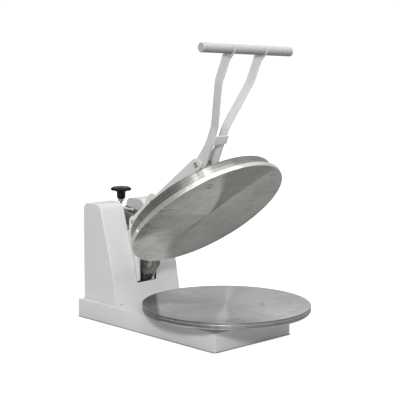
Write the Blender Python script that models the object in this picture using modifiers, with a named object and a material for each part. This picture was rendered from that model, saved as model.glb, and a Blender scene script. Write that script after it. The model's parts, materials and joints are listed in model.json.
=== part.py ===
"""Manual clamshell dough press with round 18 inch platens.

Frame: +Z up, -Y is the operator's side (front), X runs left to right.
Origin: on the counter surface, below the middle of the whole press. The sizes below are measured
from the lower platen's centre line, and the finished press is moved forward by ORIGIN_Y.
The press is drawn open, which is its rest pose. All driving sizes are in millimetres.
Places on the side elevation are pairs (y, z).
"""
import math

import bpy
import bmesh
from mathutils import Matrix, Vector

MM = 0.001
GAP = 0.3                      # clearance between touching pieces
LOOSE = 0.4                    # wider clearance round some bolts and pins

# ---------------------------------------------------------------- driving sizes
ORIGIN_Y = 120.15              # middle of the press, behind the lower platen's centre
PLATEN_R = 228.6               # 18 inch platen
DISC_R = 215.0                 # backing disc of the upper platen
FLANGE_T = 12.4                # pressing plate of the upper platen
DISC_TOP = 42.4                # top of the backing disc above the pressing face
FOOT_TOP = DISC_TOP + 8.3      # top of the bracket foot on the backing disc
LOWER_TOP = 93.1               # working height of the lower platen
LOWER_T = 18.8
CLOSE = math.radians(40.6)     # swing of the press arm, open to closed
PRESS_GAP = 3.0                # gap between the platens when closed

BASE_HALF_W = 145.6
BASE_Y0, BASE_Y1 = -102.0, 462.0
BASE_Z0, BASE_Z1 = 1.5, 51.9
SHEET = 2.0                    # sheet metal of base and housing
FOOT_INSET = 15.0              # feet, in from the edges of the base
FLOOR_Z = BASE_Z1 + GAP        # underside of what stands on the base

# places on the side elevation
HINGE = (347.0, 115.0)         # press arm hinge
FULCRUM = (340.0, 279.0)       # adjuster lever fulcrum at the head of the frame plates
TOGGLE_GROUND = (340.0, 257.0) # lower toggle pin, carried by the adjuster lever
TIE_ROD = (400.0, 92.0)
BLOCK_BOLT = (426.0, 224.0)
HANDLE_PIVOT = (88.0, 465.0)   # handle pivot on the arm bars, press open
KNEE_DEG = -48.0               # direction of the handle's rear leg, press open
TOGGLE_SLACK = 5.0             # toggle stops this far short of its dead centre
KNOB_Y = 438.0                 # adjusting screw axis
TRUNNION = (KNOB_Y, 303.0)

# layers across the press: distance of each pair's inner and outer face from the middle
PRESS_ARM_HALF = 9.0
BESIDE_ARM = PRESS_ARM_HALF + GAP
LINK_IN, LINK_OUT = 10.8, 16.6
LEVER_IN, LEVER_OUT = 18.2, 23.8
BAR_IN, BAR_OUT = 24.7, 30.3
FRAME_IN, FRAME_OUT = 31.4, 37.2
LUG_OUT = 16.0

# bolts, pins and their holes
BOLT_R = 5.0
BOLT_HOLE = BOLT_R + GAP
BLOCK_BOLT_R = 4.0
PIN_R = 6.0
PIN_HOLE = PIN_R + GAP
SHAFT_R = 8.0
SHAFT_HOLE = SHAFT_R + GAP
PIVOT_TUBE_R = 8.2             # outside of the spacers and bushes on the handle pivot
SCREW_R = 4.3                  # adjusting screw
SCREW_HOLE = SCREW_R + LOOSE

HOLE_SEG = 14                  # facets round a small hole
TURN_SEG = 14                  # facets round a bolt or a pin
SIDES = (("left", -1), ("right", 1))


# ---------------------------------------------------------------- linkage geometry
def turn(point, centre, angle):
    """Point (y, z) turned about centre by angle, about +X."""
    dy, dz = point[0] - centre[0], point[1] - centre[1]
    return (centre[0] + dy * math.cos(angle) - dz * math.sin(angle),
            centre[1] + dy * math.sin(angle) + dz * math.cos(angle))


def find_knee():
    """Knee of the toggle: end of the handle's rear leg, press open."""
    closed = turn(HANDLE_PIVOT, HINGE, CLOSE)
    total = math.dist(closed, TOGGLE_GROUND) + TOGGLE_SLACK
    span = math.dist(HANDLE_PIVOT, TOGGLE_GROUND)
    line = math.atan2(TOGGLE_GROUND[1] - HANDLE_PIVOT[1], TOGGLE_GROUND[0] - HANDLE_PIVOT[0])
    leg_angle = math.radians(KNEE_DEG)
    leg = (total ** 2 - span ** 2) / (2 * (total - span * math.cos(leg_angle - line)))
    return (HANDLE_PIVOT[0] + leg * math.cos(leg_angle),
            HANDLE_PIVOT[1] + leg * math.sin(leg_angle))


def from_platen(y, z):
    """World (y, z) of a point given in the upper platen's own axes, press open."""
    return turn((y, LOWER_TOP + PRESS_GAP + z), HINGE, -CLOSE)


KNEE = find_knee()
PLATEN_UP = (0.0, math.sin(CLOSE), math.cos(CLOSE))
PLATEN_ORIGIN = (0.0, *from_platen(0.0, 0.0))
ARM_BACK = (137.0, 142.0)      # rear bolt of the arm bars, in the upper platen's axes
REAR_BOLT = from_platen(*ARM_BACK)
BRACKET_FRONT = (-30.0, 66.0)  # bolts through spine and bracket, in the upper platen's axes
BRACKET_REAR = (60.0, 66.0)

# ---------------------------------------------------------------- scene set-up
for ob in list(bpy.data.objects):
    bpy.data.objects.remove(ob, do_unlink=True)
for block in (bpy.data.meshes, bpy.data.curves, bpy.data.materials, bpy.data.collections):
    for item in list(block):
        block.remove(item)

PARTS = bpy.data.collections.new("dough_press")
CUTTERS = bpy.data.collections.new("cutters")
bpy.context.scene.collection.children.link(PARTS)
bpy.context.scene.collection.children.link(CUTTERS)

# ---------------------------------------------------------------- finishes
WHITE = dict(name="powder_white", colour=(0.80, 0.80, 0.79), roughness=0.42, metallic=0.0)
ALU = dict(name="brushed_aluminium", colour=(0.56, 0.56, 0.54), roughness=0.34, metallic=1.0)
STEEL = dict(name="zinc_steel", colour=(0.62, 0.62, 0.60), roughness=0.30, metallic=1.0)
CAST = dict(name="dark_casting", colour=(0.07, 0.07, 0.065), roughness=0.55, metallic=0.2)
BLACK = dict(name="black_plastic", colour=(0.012, 0.012, 0.012), roughness=0.38, metallic=0.0)
RUBBER = dict(name="black_rubber", colour=(0.02, 0.02, 0.02), roughness=0.8, metallic=0.0)
BRONZE = dict(name="bronze_bush", colour=(0.55, 0.36, 0.16), roughness=0.35, metallic=1.0)
SPRING = dict(name="spring_steel", colour=(0.20, 0.20, 0.20), roughness=0.35, metallic=1.0)


def material(owner, name, colour, roughness, metallic):
    """A piece's own copy of a finish."""
    mat = bpy.data.materials.new(owner + "_" + name)
    mat.use_nodes = True
    inputs = mat.node_tree.nodes["Principled BSDF"].inputs
    inputs["Base Color"].default_value = (*colour, 1.0)
    inputs["Roughness"].default_value = roughness
    inputs["Metallic"].default_value = metallic
    mat.diffuse_color = (*colour, 1.0)
    return mat


# ---------------------------------------------------------------- object helpers
def move_to(ob, collection):
    for old in list(ob.users_collection):
        old.objects.unlink(ob)
    collection.objects.link(ob)


def take(ob, finish):
    """Put a finished object in the parts collection with its own material."""
    move_to(ob, PARTS)
    ob.data.materials.clear()
    ob.data.materials.append(material(ob.name, **finish))
    return ob


def cutter(ob):
    """Put a boolean helper in the cutters collection, out of the render."""
    move_to(ob, CUTTERS)
    ob.hide_render = True
    ob.display_type = "WIRE"
    return ob


def smooth(me, deg=32.0):
    me.shade_smooth()
    me.set_sharp_from_angle(angle=math.radians(deg))


def finished(ob, finish):
    """Shade an object; with a finish, it also becomes a part."""
    smooth(ob.data)
    return take(ob, finish) if finish else ob


def add_object(name, data):
    ob = bpy.data.objects.new(name, data)
    bpy.context.scene.collection.objects.link(ob)
    return ob


def tidy(me):
    bm = bmesh.new()
    bm.from_mesh(me)
    bmesh.ops.remove_doubles(bm, verts=bm.verts, dist=1e-6)
    bmesh.ops.dissolve_degenerate(bm, edges=bm.edges, dist=1e-7)
    bmesh.ops.recalc_face_normals(bm, faces=bm.faces)
    bm.to_mesh(me)
    bm.free()


def bake(ob):
    """Replace an object by the mesh its modifiers or curve settings give."""
    bpy.context.view_layer.update()
    dep = bpy.context.evaluated_depsgraph_get()
    me = bpy.data.meshes.new_from_object(ob.evaluated_get(dep), preserve_all_data_layers=True,
                                         depsgraph=dep)
    name = ob.name
    me.name = name
    tidy(me)
    placement = ob.matrix_world.copy()
    bpy.data.objects.remove(ob, do_unlink=True)
    new = add_object(name, me)
    new.matrix_world = placement
    bpy.context.view_layer.update()
    return new


def boolean(ob, other, operation="DIFFERENCE"):
    mod = ob.modifiers.new(operation.lower(), "BOOLEAN")
    mod.operation = operation
    mod.solver = "EXACT"
    mod.object = other


# ---------------------------------------------------------------- outlines
def circle(centre, radius, n, a0=0.0, a1=2 * math.pi):
    """n steps of a circle or, with both ends kept, of an arc from a0 to a1."""
    closed = abs(a1 - a0 - 2 * math.pi) < 1e-9
    return [(centre[0] + radius * math.cos(a0 + (a1 - a0) * i / n),
             centre[1] + radius * math.sin(a0 + (a1 - a0) * i / n))
            for i in range(n if closed else n + 1)]


def fillet(corners, steps):
    """Polygon [(x, y, radius), ...] with its corners rounded; (x, y) stays sharp."""
    out = []
    for i, corner in enumerate(corners):
        tip = Vector(corner[:2])
        before = (Vector(corners[i - 1][:2]) - tip).normalized()
        after = (Vector(corners[(i + 1) % len(corners)][:2]) - tip).normalized()
        radius = corner[2] if len(corner) > 2 else 0.0
        half = math.acos(max(-1.0, min(1.0, before.dot(after)))) / 2
        if radius <= 0.0 or half > math.radians(89.0):
            out.append((tip.x, tip.y))
            continue
        reach = radius / math.tan(half)
        centre = tip + (before + after).normalized() * (radius / math.sin(half))
        start = tip + before * reach - centre
        end = tip + after * reach - centre
        a0 = math.atan2(start.y, start.x)
        sweep = (math.atan2(end.y, end.x) - a0 + math.pi) % (2 * math.pi) - math.pi
        for k in range(steps + 1):
            a = a0 + sweep * k / steps
            out.append((centre.x + radius * math.cos(a), centre.y + radius * math.sin(a)))
    return out


def rectangle(half_w, y0, y1, radius, steps):
    return fillet([(-half_w, y0, radius), (half_w, y0, radius),
                   (half_w, y1, radius), (-half_w, y1, radius)], steps)


def hull(circles, n):
    """Outline of a belt round several circles [(centre, radius), ...]."""
    points = sorted({(round(p[0], 5), round(p[1], 5)) for c, r in circles for p in circle(c, r, n)})

    def half(seq):
        chain = []
        for p in seq:
            while len(chain) > 1:
                a, b = chain[-2:]
                if (b[0] - a[0]) * (p[1] - a[1]) - (b[1] - a[1]) * (p[0] - a[0]) > 1e-6:
                    break
                chain.pop()
            chain.append(p)
        return chain[:-1]
    return half(points) + half(points[::-1])


# ---------------------------------------------------------------- solids
TO_YZ = Matrix(((0, 0, 1), (1, 0, 0), (0, 1, 0))).to_4x4()   # outline plane to the world YZ plane
TO_XZ = Matrix(((1, 0, 0), (0, 0, 1), (0, 1, 0))).to_4x4()   # outline plane to the world XZ plane


def extruded(name, loops, half_t, edge, placement):
    """Closed loops filled and thickened both ways, with chamfered edges."""
    cu = bpy.data.curves.new(name, "CURVE")
    cu.dimensions = "2D"
    cu.fill_mode = "BOTH"
    cu.extrude = (half_t - edge) * MM
    cu.bevel_depth = edge * MM
    cu.bevel_resolution = 0
    cu.resolution_u = 1
    cu.render_resolution_u = 0
    cu.offset = -edge * MM
    for loop in loops:
        spline = cu.splines.new("POLY")
        spline.points.add(len(loop) - 1)
        for point, (u, v) in zip(spline.points, loop):
            point.co = (u * MM, v * MM, 0.0, 1.0)
        spline.use_cyclic_u = True
    ob = add_object(name, cu)
    ob.matrix_world = placement
    return bake(ob)


def plate(name, outline, holes, x0, x1, origin, finish=None, edge=0.0):
    """Flat plate in the YZ plane from x0 to x1, with round holes [(y, z, r), ...]."""
    loops = [outline] + [circle((y, z), r, HOLE_SEG) for y, z, r in holes]
    loops = [[(y - origin[0], z - origin[1]) for y, z in loop] for loop in loops]
    placement = Matrix.Translation(Vector(((x0 + x1) / 2, *origin)) * MM) @ TO_YZ
    return finished(extruded(name, loops, (x1 - x0) / 2, edge, placement), finish)


def flat_plate(name, outline, z0, z1, finish=None, edge=0.0, holes=()):
    """Flat plate in the XY plane from z0 to z1, with round holes [(x, y, r), ...]."""
    loops = [outline] + [circle((x, y), r, HOLE_SEG) for x, y, r in holes]
    placement = Matrix.Translation((0, 0, (z0 + z1) / 2 * MM))
    return finished(extruded(name, loops, (z1 - z0) / 2, edge, placement), finish)


def turned(name, profile, origin, steps, finish=None, axis=(0, 0, 1), loop=False):
    """Turned piece: profile [(r, h), ...] from its top down its outer side, about an axis."""
    me = bpy.data.meshes.new(name)
    n = len(profile)
    edges = [(i, i + 1) for i in range(n - 1)] + ([(n - 1, 0)] if loop else [])
    me.from_pydata([(r * MM, 0.0, h * MM) for r, h in profile], edges, [])
    ob = add_object(name, me)
    mod = ob.modifiers.new("turn", "SCREW")
    mod.axis = "Z"
    mod.angle = 2 * math.pi
    mod.steps = mod.render_steps = steps
    mod.use_merge_vertices = True
    mod.merge_threshold = 1e-5
    tilt = Vector((0, 0, 1)).rotation_difference(Vector(axis).normalized())
    ob.matrix_world = Matrix.Translation(Vector(origin) * MM) @ tilt.to_matrix().to_4x4()
    return finished(bake(ob), finish)


def cylinder(radius, top, bottom):
    """Profile of a plain cylinder."""
    return [(0, top), (radius, top), (radius, bottom), (0, bottom)]


def box(name, lo, hi):
    bpy.ops.mesh.primitive_cube_add(size=1.0)
    ob = bpy.context.object
    ob.name = name
    for v in ob.data.vertices:
        v.co = [((lo[i] + hi[i]) / 2 + v.co[i] * (hi[i] - lo[i])) * MM for i in range(3)]
    return ob


def bolt(name, yz, x_head, x_end, radius, head_r, head_h):
    """Cap screw along X: domed head to the left of x_head, shank running right to x_end."""
    length = x_end - x_head
    profile = [(0, head_h), (head_r * 0.7, head_h), (head_r, head_h * 0.55),
               (head_r, 0.0), (radius, 0.0), (radius, -length), (0, -length)]
    turned(name, profile, (x_head, *yz), TURN_SEG, STEEL, (-1, 0, 0))


def pin(name, yz, radius, half_length):
    """Plain rod along X."""
    turned(name, cylinder(radius, half_length, -half_length), (0, *yz), TURN_SEG, STEEL, (1, 0, 0))


def nut(name, yz, corner_r, hole_r, x0, x1, edge):
    plate(name, circle(yz, corner_r, 6), [(*yz, hole_r)], x0, x1, yz, STEEL, edge)


def mirrored(side, inner, outer):
    """Lower and upper x of a layer on one side of the middle."""
    return sorted((side * inner, side * outer))


def ring_pair(name, yz, inner, outer, r_in, r_out, finish):
    """Left and right bush or spacer tube along X."""
    for side_name, side in SIDES:
        x0, x1 = mirrored(side, inner, outer)
        half = (x1 - x0) / 2
        profile = [(r_in, half), (r_out, half), (r_out, -half), (r_in, -half)]
        turned(f"{name}_{side_name}", profile, ((x0 + x1) / 2, *yz), 18, finish, (1, 0, 0), loop=True)


def plate_pair(name, outline, holes, inner, outer, origin, finish, edge=0.0):
    """Left and right plate of one outline."""
    for side_name, side in SIDES:
        plate(f"{name}_{side_name}", outline, holes, *mirrored(side, inner, outer),
              origin, finish, edge)


# ---------------------------------------------------------------- base
BASE_LIP = 28.0                # flange left round the open underside
FOOT_PLACES = {f"{end}_{side_name}": (side * (BASE_HALF_W - FOOT_INSET), y)
               for end, y in (("front", BASE_Y0 + FOOT_INSET), ("rear", BASE_Y1 - FOOT_INSET))
               for side_name, side in SIDES}


def base_pan():
    pan = flat_plate("base_pan", rectangle(BASE_HALF_W, BASE_Y0, BASE_Y1, 3, 4), BASE_Z0, BASE_Z1)
    # the sheet is folded down all round, so only the upper rim is rounded
    bm = bmesh.new()
    bm.from_mesh(pan.data)
    peak = max(v.co.z for v in bm.verts)
    rim = [e for e in bm.edges if min(v.co.z for v in e.verts) > peak - 1e-6
           and len(e.link_faces) == 2 and e.calc_face_angle() > 1.0]
    bmesh.ops.bevel(bm, geom=rim, offset=1.8 * MM, segments=2, profile=0.5, affect="EDGES")
    bm.to_mesh(pan.data)
    bm.free()
    smooth(pan.data)
    inside = rectangle(BASE_HALF_W - SHEET, BASE_Y0 + SHEET, BASE_Y1 - SHEET, 1.5, 3)
    boolean(pan, cutter(flat_plate("base_room", inside, BASE_Z0 + SHEET, BASE_Z1 - SHEET)))
    half_mouth = BASE_HALF_W - BASE_LIP
    boolean(pan, cutter(box("base_mouth", (-half_mouth, BASE_Y0 + BASE_LIP, -5),
                            (half_mouth, BASE_Y1 - BASE_LIP, BASE_Z0 + SHEET + 3))))
    for i, (x, y) in enumerate(FOOT_PLACES.values()):
        hole = turned(f"base_hole_{i}", cylinder(5.2, 4, -4), (x, y, BASE_Z0 + 1), 16)
        boolean(pan, cutter(hole))
    take(pan, WHITE)


def feet():
    """Rubber feet snapped through the flange: plug inside, neck, pad on the counter."""
    z = BASE_Z0
    profile = [(0, z + 8), (4.5, z + 8), (7.5, z + 5), (7.5, z + SHEET + GAP),
               (4.8, z + SHEET + GAP), (4.8, z - GAP), (12.5, z - GAP), (11.8, 0.0), (0, 0.0)]
    for place, (x, y) in FOOT_PLACES.items():
        turned("foot_" + place, profile, (x, y, 0), 14, RUBBER)


# ---------------------------------------------------------------- housing
HOUSE_HALF_W = 124.0
HOUSE_TOP = 333.0
HOUSE_BACK = 460.0
SLOT_HALF_W = 39.0             # centre slot
SLOT_Z0 = 104.5                # foot of the slot at the front
REAR_SLOT_Z0 = 236.0           # foot of the slot at the back
SLOT_Z1 = HOUSE_TOP + 30       # the slot cutters end above the top
SLOT_MID_Y, SLOT_HALF_Y = 355.0, 85.0
CHEEK_Z0 = 240.0
TAB_X, TAB_HALF_W, TAB_T = 112.0, 7, 1.5


def house_profile(inset):
    """Side profile of the housing; an inset one also runs on below the housing."""
    low = FLOOR_Z if inset == 0 else FLOOR_Z - 20.0
    front = 313.0 - (FLOOR_Z - low) * 0.19 + inset
    top, back = HOUSE_TOP - inset, HOUSE_BACK - inset
    return fillet([(front, low), (331.0 + inset, 145.0, 40), (386.5 + inset, top, 24 - inset),
                   (back, top, 20 - inset), (back, low)], 5)


def housing():
    shell = plate("housing", house_profile(0.0), [], -HOUSE_HALF_W, HOUSE_HALF_W, (0, 0), edge=1.2)
    half_room = HOUSE_HALF_W - SHEET
    boolean(shell, cutter(plate("housing_room", house_profile(SHEET), [],
                                -half_room, half_room, (0, 0))))
    # inner cheeks of the two towers, folded down from the slot edges
    for side in (-1, 1):
        cheek = cutter(plate(f"cheek_{side + 1}", house_profile(0.6), [],
                             *mirrored(side, SLOT_HALF_W - 1.0, SLOT_HALF_W + SHEET), (0, 0)))
        boolean(cheek, cutter(box(f"cheek_cut_{side + 1}", (-80, 250, 0), (80, 500, CHEEK_Z0))))
        boolean(shell, cheek, "UNION")
    # centre slot: open at the front, over the top and down the upper part of the back
    slot = fillet([(-SLOT_HALF_W, SLOT_Z0, 8), (SLOT_HALF_W, SLOT_Z0, 8),
                   (SLOT_HALF_W, SLOT_Z1), (-SLOT_HALF_W, SLOT_Z1)], 4)
    placement = Matrix.Translation(Vector((0, SLOT_MID_Y, 0)) * MM) @ TO_XZ
    boolean(shell, cutter(extruded("slot_front", [slot], SLOT_HALF_Y, 0.0, placement)))
    boolean(shell, cutter(box("slot_rear", (-SLOT_HALF_W, 435.0, REAR_SLOT_Z0),
                              (SLOT_HALF_W, 480.0, SLOT_Z1))))
    # hold-down tabs at the two front corners
    for side in (-1, 1):
        x = side * TAB_X
        tab = box(f"tab_{side + 1}", (x - TAB_HALF_W, 301.0, FLOOR_Z),
                  (x + TAB_HALF_W, 314.6, FLOOR_Z + TAB_T))
        boolean(shell, cutter(tab), "UNION")
    take(shell, WHITE)


def housing_screws():
    profile = [(0, 2.2), (2.0, 2.1), (3.4, 1.2), (3.8, 0.0), (0, 0.0)]
    for side_name, side in SIDES:
        turned("housing_screw_" + side_name, profile,
               (side * TAB_X, 306.0, FLOOR_Z + TAB_T + GAP), TURN_SEG, STEEL)


# ---------------------------------------------------------------- frame inside the housing
FRAME_HEAD_R = 18.5
FRAME_FRONT_Y = 317.0
FRAME_Z0 = 58.0
# outline corners (y, z, radius): front edge of each plate, then the edge behind the round head
FRAME_FRONTS = {
    "left": [(330.0, FRAME_Z0), (330.0, 110.0), (FRAME_FRONT_Y, 110.0, 3),
             (FRAME_FRONT_Y, 200.0, 30)],
    "right": [(332.5, FRAME_Z0), (332.5, 112.0, 4), (FRAME_FRONT_Y, 166.0, 6),
              (FRAME_FRONT_Y, 200.0, 30)],
}
FRAME_REAR = [(FULCRUM[0] + FRAME_HEAD_R, 252.0, 14), (398.0, 238.0, 12), (452.0, 238.0, 6),
              (452.0, 204.0, 10), (428.0, 150.0, 20), (428.0, FRAME_Z0)]


def frame():
    head = circle(FULCRUM, FRAME_HEAD_R, 12, math.pi, 0.0)
    holes = [(*HINGE, SHAFT_HOLE), (*FULCRUM, BOLT_HOLE), (*TIE_ROD, BOLT_HOLE),
             (*BLOCK_BOLT, BLOCK_BOLT_R + GAP)]
    for side_name, side in SIDES:
        outline = fillet(FRAME_FRONTS[side_name] + head + FRAME_REAR, 4)
        plate("frame_plate_" + side_name, outline, holes,
              *mirrored(side, FRAME_IN, FRAME_OUT), HINGE, WHITE)
    flat_plate("frame_floor_plate", rectangle(52, 326, 436, 3, 3),
               FLOOR_Z, FRAME_Z0 - GAP, CAST, 0.4)
    pin("frame_tie_rod", TIE_ROD, BOLT_R, FRAME_OUT)
    # the shaft has a collar at its right end
    collar_x = FRAME_OUT + GAP
    profile = [(0, 40.5), (10.5, 40.5), (10.5, collar_x), (SHAFT_R, collar_x),
               (SHAFT_R, -40.5), (0, -40.5)]
    turned("hinge_shaft", profile, (0, *HINGE), 18, STEEL, (1, 0, 0))
    ring_pair("hinge_bush", HINGE, BESIDE_ARM, 13.5, SHAFT_HOLE, 17.0, BRONZE)


WIRE_R = 1.5
COIL_R = 12.5
COIL_TURNS, COIL_STEPS = 4, 12  # steps are per turn
COIL_PITCH = 3.45
COIL_X = 15.6                  # inner end of each coil
COIL_START = math.radians(20)
LOWER_LEG = 26                 # straight leg at the inner end
SPRING_TAIL = (393.6, 99.0)    # end of the leg at the outer end


def spring_path(side):
    """Centre line of a counter spring, from its inner leg out to its tail."""
    y, z = HINGE
    leg_angle = math.radians(20 + 90)
    points = [(side * COIL_X,
               y + COIL_R * math.cos(COIL_START) - LOWER_LEG * math.cos(leg_angle),
               z + COIL_R * math.sin(COIL_START) - LOWER_LEG * math.sin(leg_angle))]
    for i in range(COIL_TURNS * COIL_STEPS + 1):
        a = 2 * math.pi * i / COIL_STEPS + COIL_START
        points.append((side * COIL_X + side * COIL_PITCH * i / COIL_STEPS,
                       y + COIL_R * math.cos(a), z + COIL_R * math.sin(a)))
    end_x, end_y, end_z = points[-1]
    points.append((end_x, end_y + 12 * math.cos(COIL_START + 1.2), end_z - 16))
    points.append((end_x, *SPRING_TAIL))
    return points


def counter_springs():
    """Torsion springs round the hinge shaft that carry the weight of the upper platen."""
    for side_name, side in SIDES:
        name = "counter_spring_" + side_name
        path = spring_path(side)
        cu = bpy.data.curves.new(name, "CURVE")
        cu.dimensions = "3D"
        cu.bevel_depth = WIRE_R * MM
        cu.bevel_resolution = 1
        cu.use_fill_caps = True
        cu.resolution_u = 1
        cu.render_resolution_u = 0
        spline = cu.splines.new("POLY")
        spline.points.add(len(path) - 1)
        for point, (x, y, z) in zip(spline.points, path):
            point.co = (x * MM, y * MM, z * MM, 1.0)
        ob = bake(add_object(name, cu))
        smooth(ob.data, 60)
        take(ob, SPRING)


# ---------------------------------------------------------------- lower platen
def lower_platen():
    top, r = LOWER_TOP, PLATEN_R
    bottom = top - LOWER_T
    # a shallow groove runs round the rim
    profile = [(0, top), (r - 0.9, top), (r, top - 0.9), (r, top - 5.4), (r - 0.8, top - 5.8),
               (r - 0.8, top - 6.8), (r, top - 7.2), (r, bottom + 4.6), (r - 2.6, bottom),
               (0, bottom)]
    turned("lower_platen", profile, (0, 0, 0), 72, ALU)
    z0, z1 = FLOOR_Z, bottom - GAP
    profile = [(0, z1), (92.0, z1), (92.0, z0 + 6), (104.0, z0 + 6), (104.0, z0), (0, z0)]
    turned("platen_riser", profile, (0, 0, 0), 36, CAST)


# ---------------------------------------------------------------- upper platen and press arm
def upper_platen():
    r = PLATEN_R
    profile = [(0, FLANGE_T), (r - 1.0, FLANGE_T), (r, FLANGE_T - 1.0), (r, 1.2), (r - 1.2, 0),
               (0, 0)]
    turned("upper_pressing_plate", profile, PLATEN_ORIGIN, 72, ALU, PLATEN_UP)
    r = DISC_R
    profile = [(0, DISC_TOP), (r - 1.6, DISC_TOP), (r, DISC_TOP - 1.6), (r, FLANGE_T + GAP),
               (0, FLANGE_T + GAP)]
    turned("upper_disc", profile, PLATEN_ORIGIN, 72, ALU, PLATEN_UP)


# corners (y, z, radius) of the press arm's outline, in the upper platen's axes
SPINE_Z0 = FOOT_TOP + GAP
ARM_UNDERSIDE = [(-84.0, SPINE_Z0, 8), (246.0, SPINE_Z0, 6), (253.0, 20.0, 20),
                 (263.0, 6.5, 14), (300.0, 0.5, 24), (322.0, 11.0, 10)]
ARM_NECK = [(314.0, 31.0, 10), (285.0, 27.0, 12), (271.0, 52.0, 16), (266.0, 78.0, 16),
            (256.0, 97.0, 14), (234.0, 108.0, 14)]
ARM_SPINE_TOP = [(96.0, 106.0, 24), (-20.0, 92.0, 30)]
ARM_HUB_Y = 346.8


def press_arm():
    """Gooseneck casting: hub, neck round the platen's rear edge, spine over its top."""
    hub = (ARM_HUB_Y, HINGE[1] - LOWER_TOP - PRESS_GAP)
    pivot_y, pivot_z = turn(HANDLE_PIVOT, HINGE, CLOSE)
    pivot = (pivot_y, pivot_z - LOWER_TOP - PRESS_GAP)

    def arc(centre, r, n, a0, a1):
        return circle(centre, r, n, math.radians(a0), math.radians(a1))

    corners = (ARM_UNDERSIDE + arc(hub, 20.0, 14, 200, 466)
               + ARM_NECK + arc(ARM_BACK, 20.0, 8, 50, 150)
               + ARM_SPINE_TOP + arc(pivot, 9.6, 8, 60, 195))
    points = [from_platen(*p) for p in fillet(corners, 3)]
    # drop points that all but coincide with the one before
    outline = [p for i, p in enumerate(points) if i == 0 or math.dist(p, points[i - 1]) > 0.05]
    holes = [(*HINGE, SHAFT_HOLE), (*HANDLE_PIVOT, PIN_R + LOOSE), (*REAR_BOLT, BOLT_HOLE),
             (*from_platen(*BRACKET_FRONT), BOLT_HOLE), (*from_platen(*BRACKET_REAR), BOLT_HOLE)]
    plate("press_arm", outline, holes, -PRESS_ARM_HALF, PRESS_ARM_HALF, HINGE, CAST, 0.7)


BAR_ALONG = Vector((0.7986, -0.6018))   # run of the arm bars from the handle pivot to the rear
BAR_UP = Vector((0.6018, 0.7986))


def arm_bars():
    """White side bars from the handle pivot back over the fulcrum, with a lobe at the rear bolt."""
    def at(along, up):
        return tuple(Vector(HANDLE_PIVOT) + BAR_ALONG * along + BAR_UP * up)

    y, z = FULCRUM
    # the rear tip passes above the fulcrum bolt
    corners = [(y + 5.0, z + 20.0, 2), (y - 0.5, z + 9.8, 3), (y - 8.5, z + 5.5, 3),
               (y - 13.0, z - 6.0, 5), (*at(297.0, -16.5), 3), (*at(-8.0, -16.5), 5),
               (*at(-18.5, -7.0), 5), (*at(-7.0, 16.5), 5), at(4.0, 19.5), (*at(176.0, 20.8), 16)]
    corners += circle(REAR_BOLT, 24.0, 9, math.radians(128.0), math.radians(16.0))
    corners.append((*at(252.0, 21.6), 12))
    plate_pair("arm_bar", fillet(corners, 4),
               [(*HANDLE_PIVOT, PIN_R + LOOSE), (*REAR_BOLT, BOLT_HOLE)],
               BAR_IN, BAR_OUT, HINGE, WHITE, 0.5)
    bolt("arm_rear_bolt", REAR_BOLT, -BAR_OUT - GAP, 38.0, BOLT_R, 6.5, 4.2)
    ring_pair("arm_rear_spacer", REAR_BOLT, BESIDE_ARM, BAR_IN - GAP, BOLT_R + LOOSE, 8.5, STEEL)


def platen_bracket():
    """Foot that bolts the spine of the press arm to the upper platen."""
    z0 = DISC_TOP + GAP
    foot = flat_plate("platen_bracket", rectangle(46, -64, 94, 8, 3), z0, FOOT_TOP)
    lug_outline = fillet([(-56, z0 + 4), (86, z0 + 4), (86, 60), (70, 78, 8), (-40, 78, 8),
                          (-56, 60)], 3)
    for i, side in enumerate((-1, 1)):
        lug = plate(f"lug_{i}", lug_outline,
                    [(*BRACKET_FRONT, BOLT_HOLE), (*BRACKET_REAR, BOLT_HOLE)],
                    *mirrored(side, BESIDE_ARM, LUG_OUT), (0, 0))
        boolean(foot, cutter(lug), "UNION")
    foot = bake(foot)
    to_open = Matrix.Translation(Vector(PLATEN_ORIGIN) * MM) @ Matrix.Rotation(-CLOSE, 4, "X")
    foot.matrix_world = to_open @ foot.matrix_world
    finished(foot, CAST)
    head = [(0, 5.0), (4.2, 5.0), (6.3, 4.0), (6.5, 0.0), (0, 0.0)]
    places = [(x, y) for x in (-34, 34) for y in (-46, 76)]
    for i, (x, y) in enumerate(places, 1):
        turned(f"platen_bolt_{i}", head, (x, *from_platen(y, FOOT_TOP + GAP)), TURN_SEG, STEEL,
               PLATEN_UP)
    for name, place in (("front", BRACKET_FRONT), ("rear", BRACKET_REAR)):
        bolt("bracket_bolt_" + name, from_platen(*place), -LUG_OUT - GAP, 21.0, BOLT_R, 8.0, 5.0)


def handle_pivot():
    bolt("handle_pivot_bolt", HANDLE_PIVOT, -BAR_OUT - GAP, 41.0, PIN_R, 7.6, 5.4)
    nut("handle_pivot_nut", HANDLE_PIVOT, 10.4, PIN_HOLE, BAR_OUT + GAP, 38.6, 0.7)
    ring_pair("pivot_spacer", HANDLE_PIVOT, BESIDE_ARM, 17.8, PIN_R + LOOSE, PIVOT_TUBE_R, CAST)
    ring_pair("pivot_bush", HANDLE_PIVOT, 18.2, 24.2, PIN_R + LOOSE, PIVOT_TUBE_R, BRONZE)


# ---------------------------------------------------------------- handle
GRIP = (-68.5, 774.5)          # axis of the T grip at the middle
GRIP_R = 12.7
GRIP_WALL = 2.0
GRIP_HALF = 167.0              # half length over the end plugs
PLUG_CAP = 8.0                 # length of a plug outside the tube
GRIP_TILT = math.radians(2.2)  # the grip sits slightly out of level, left end up

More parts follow.
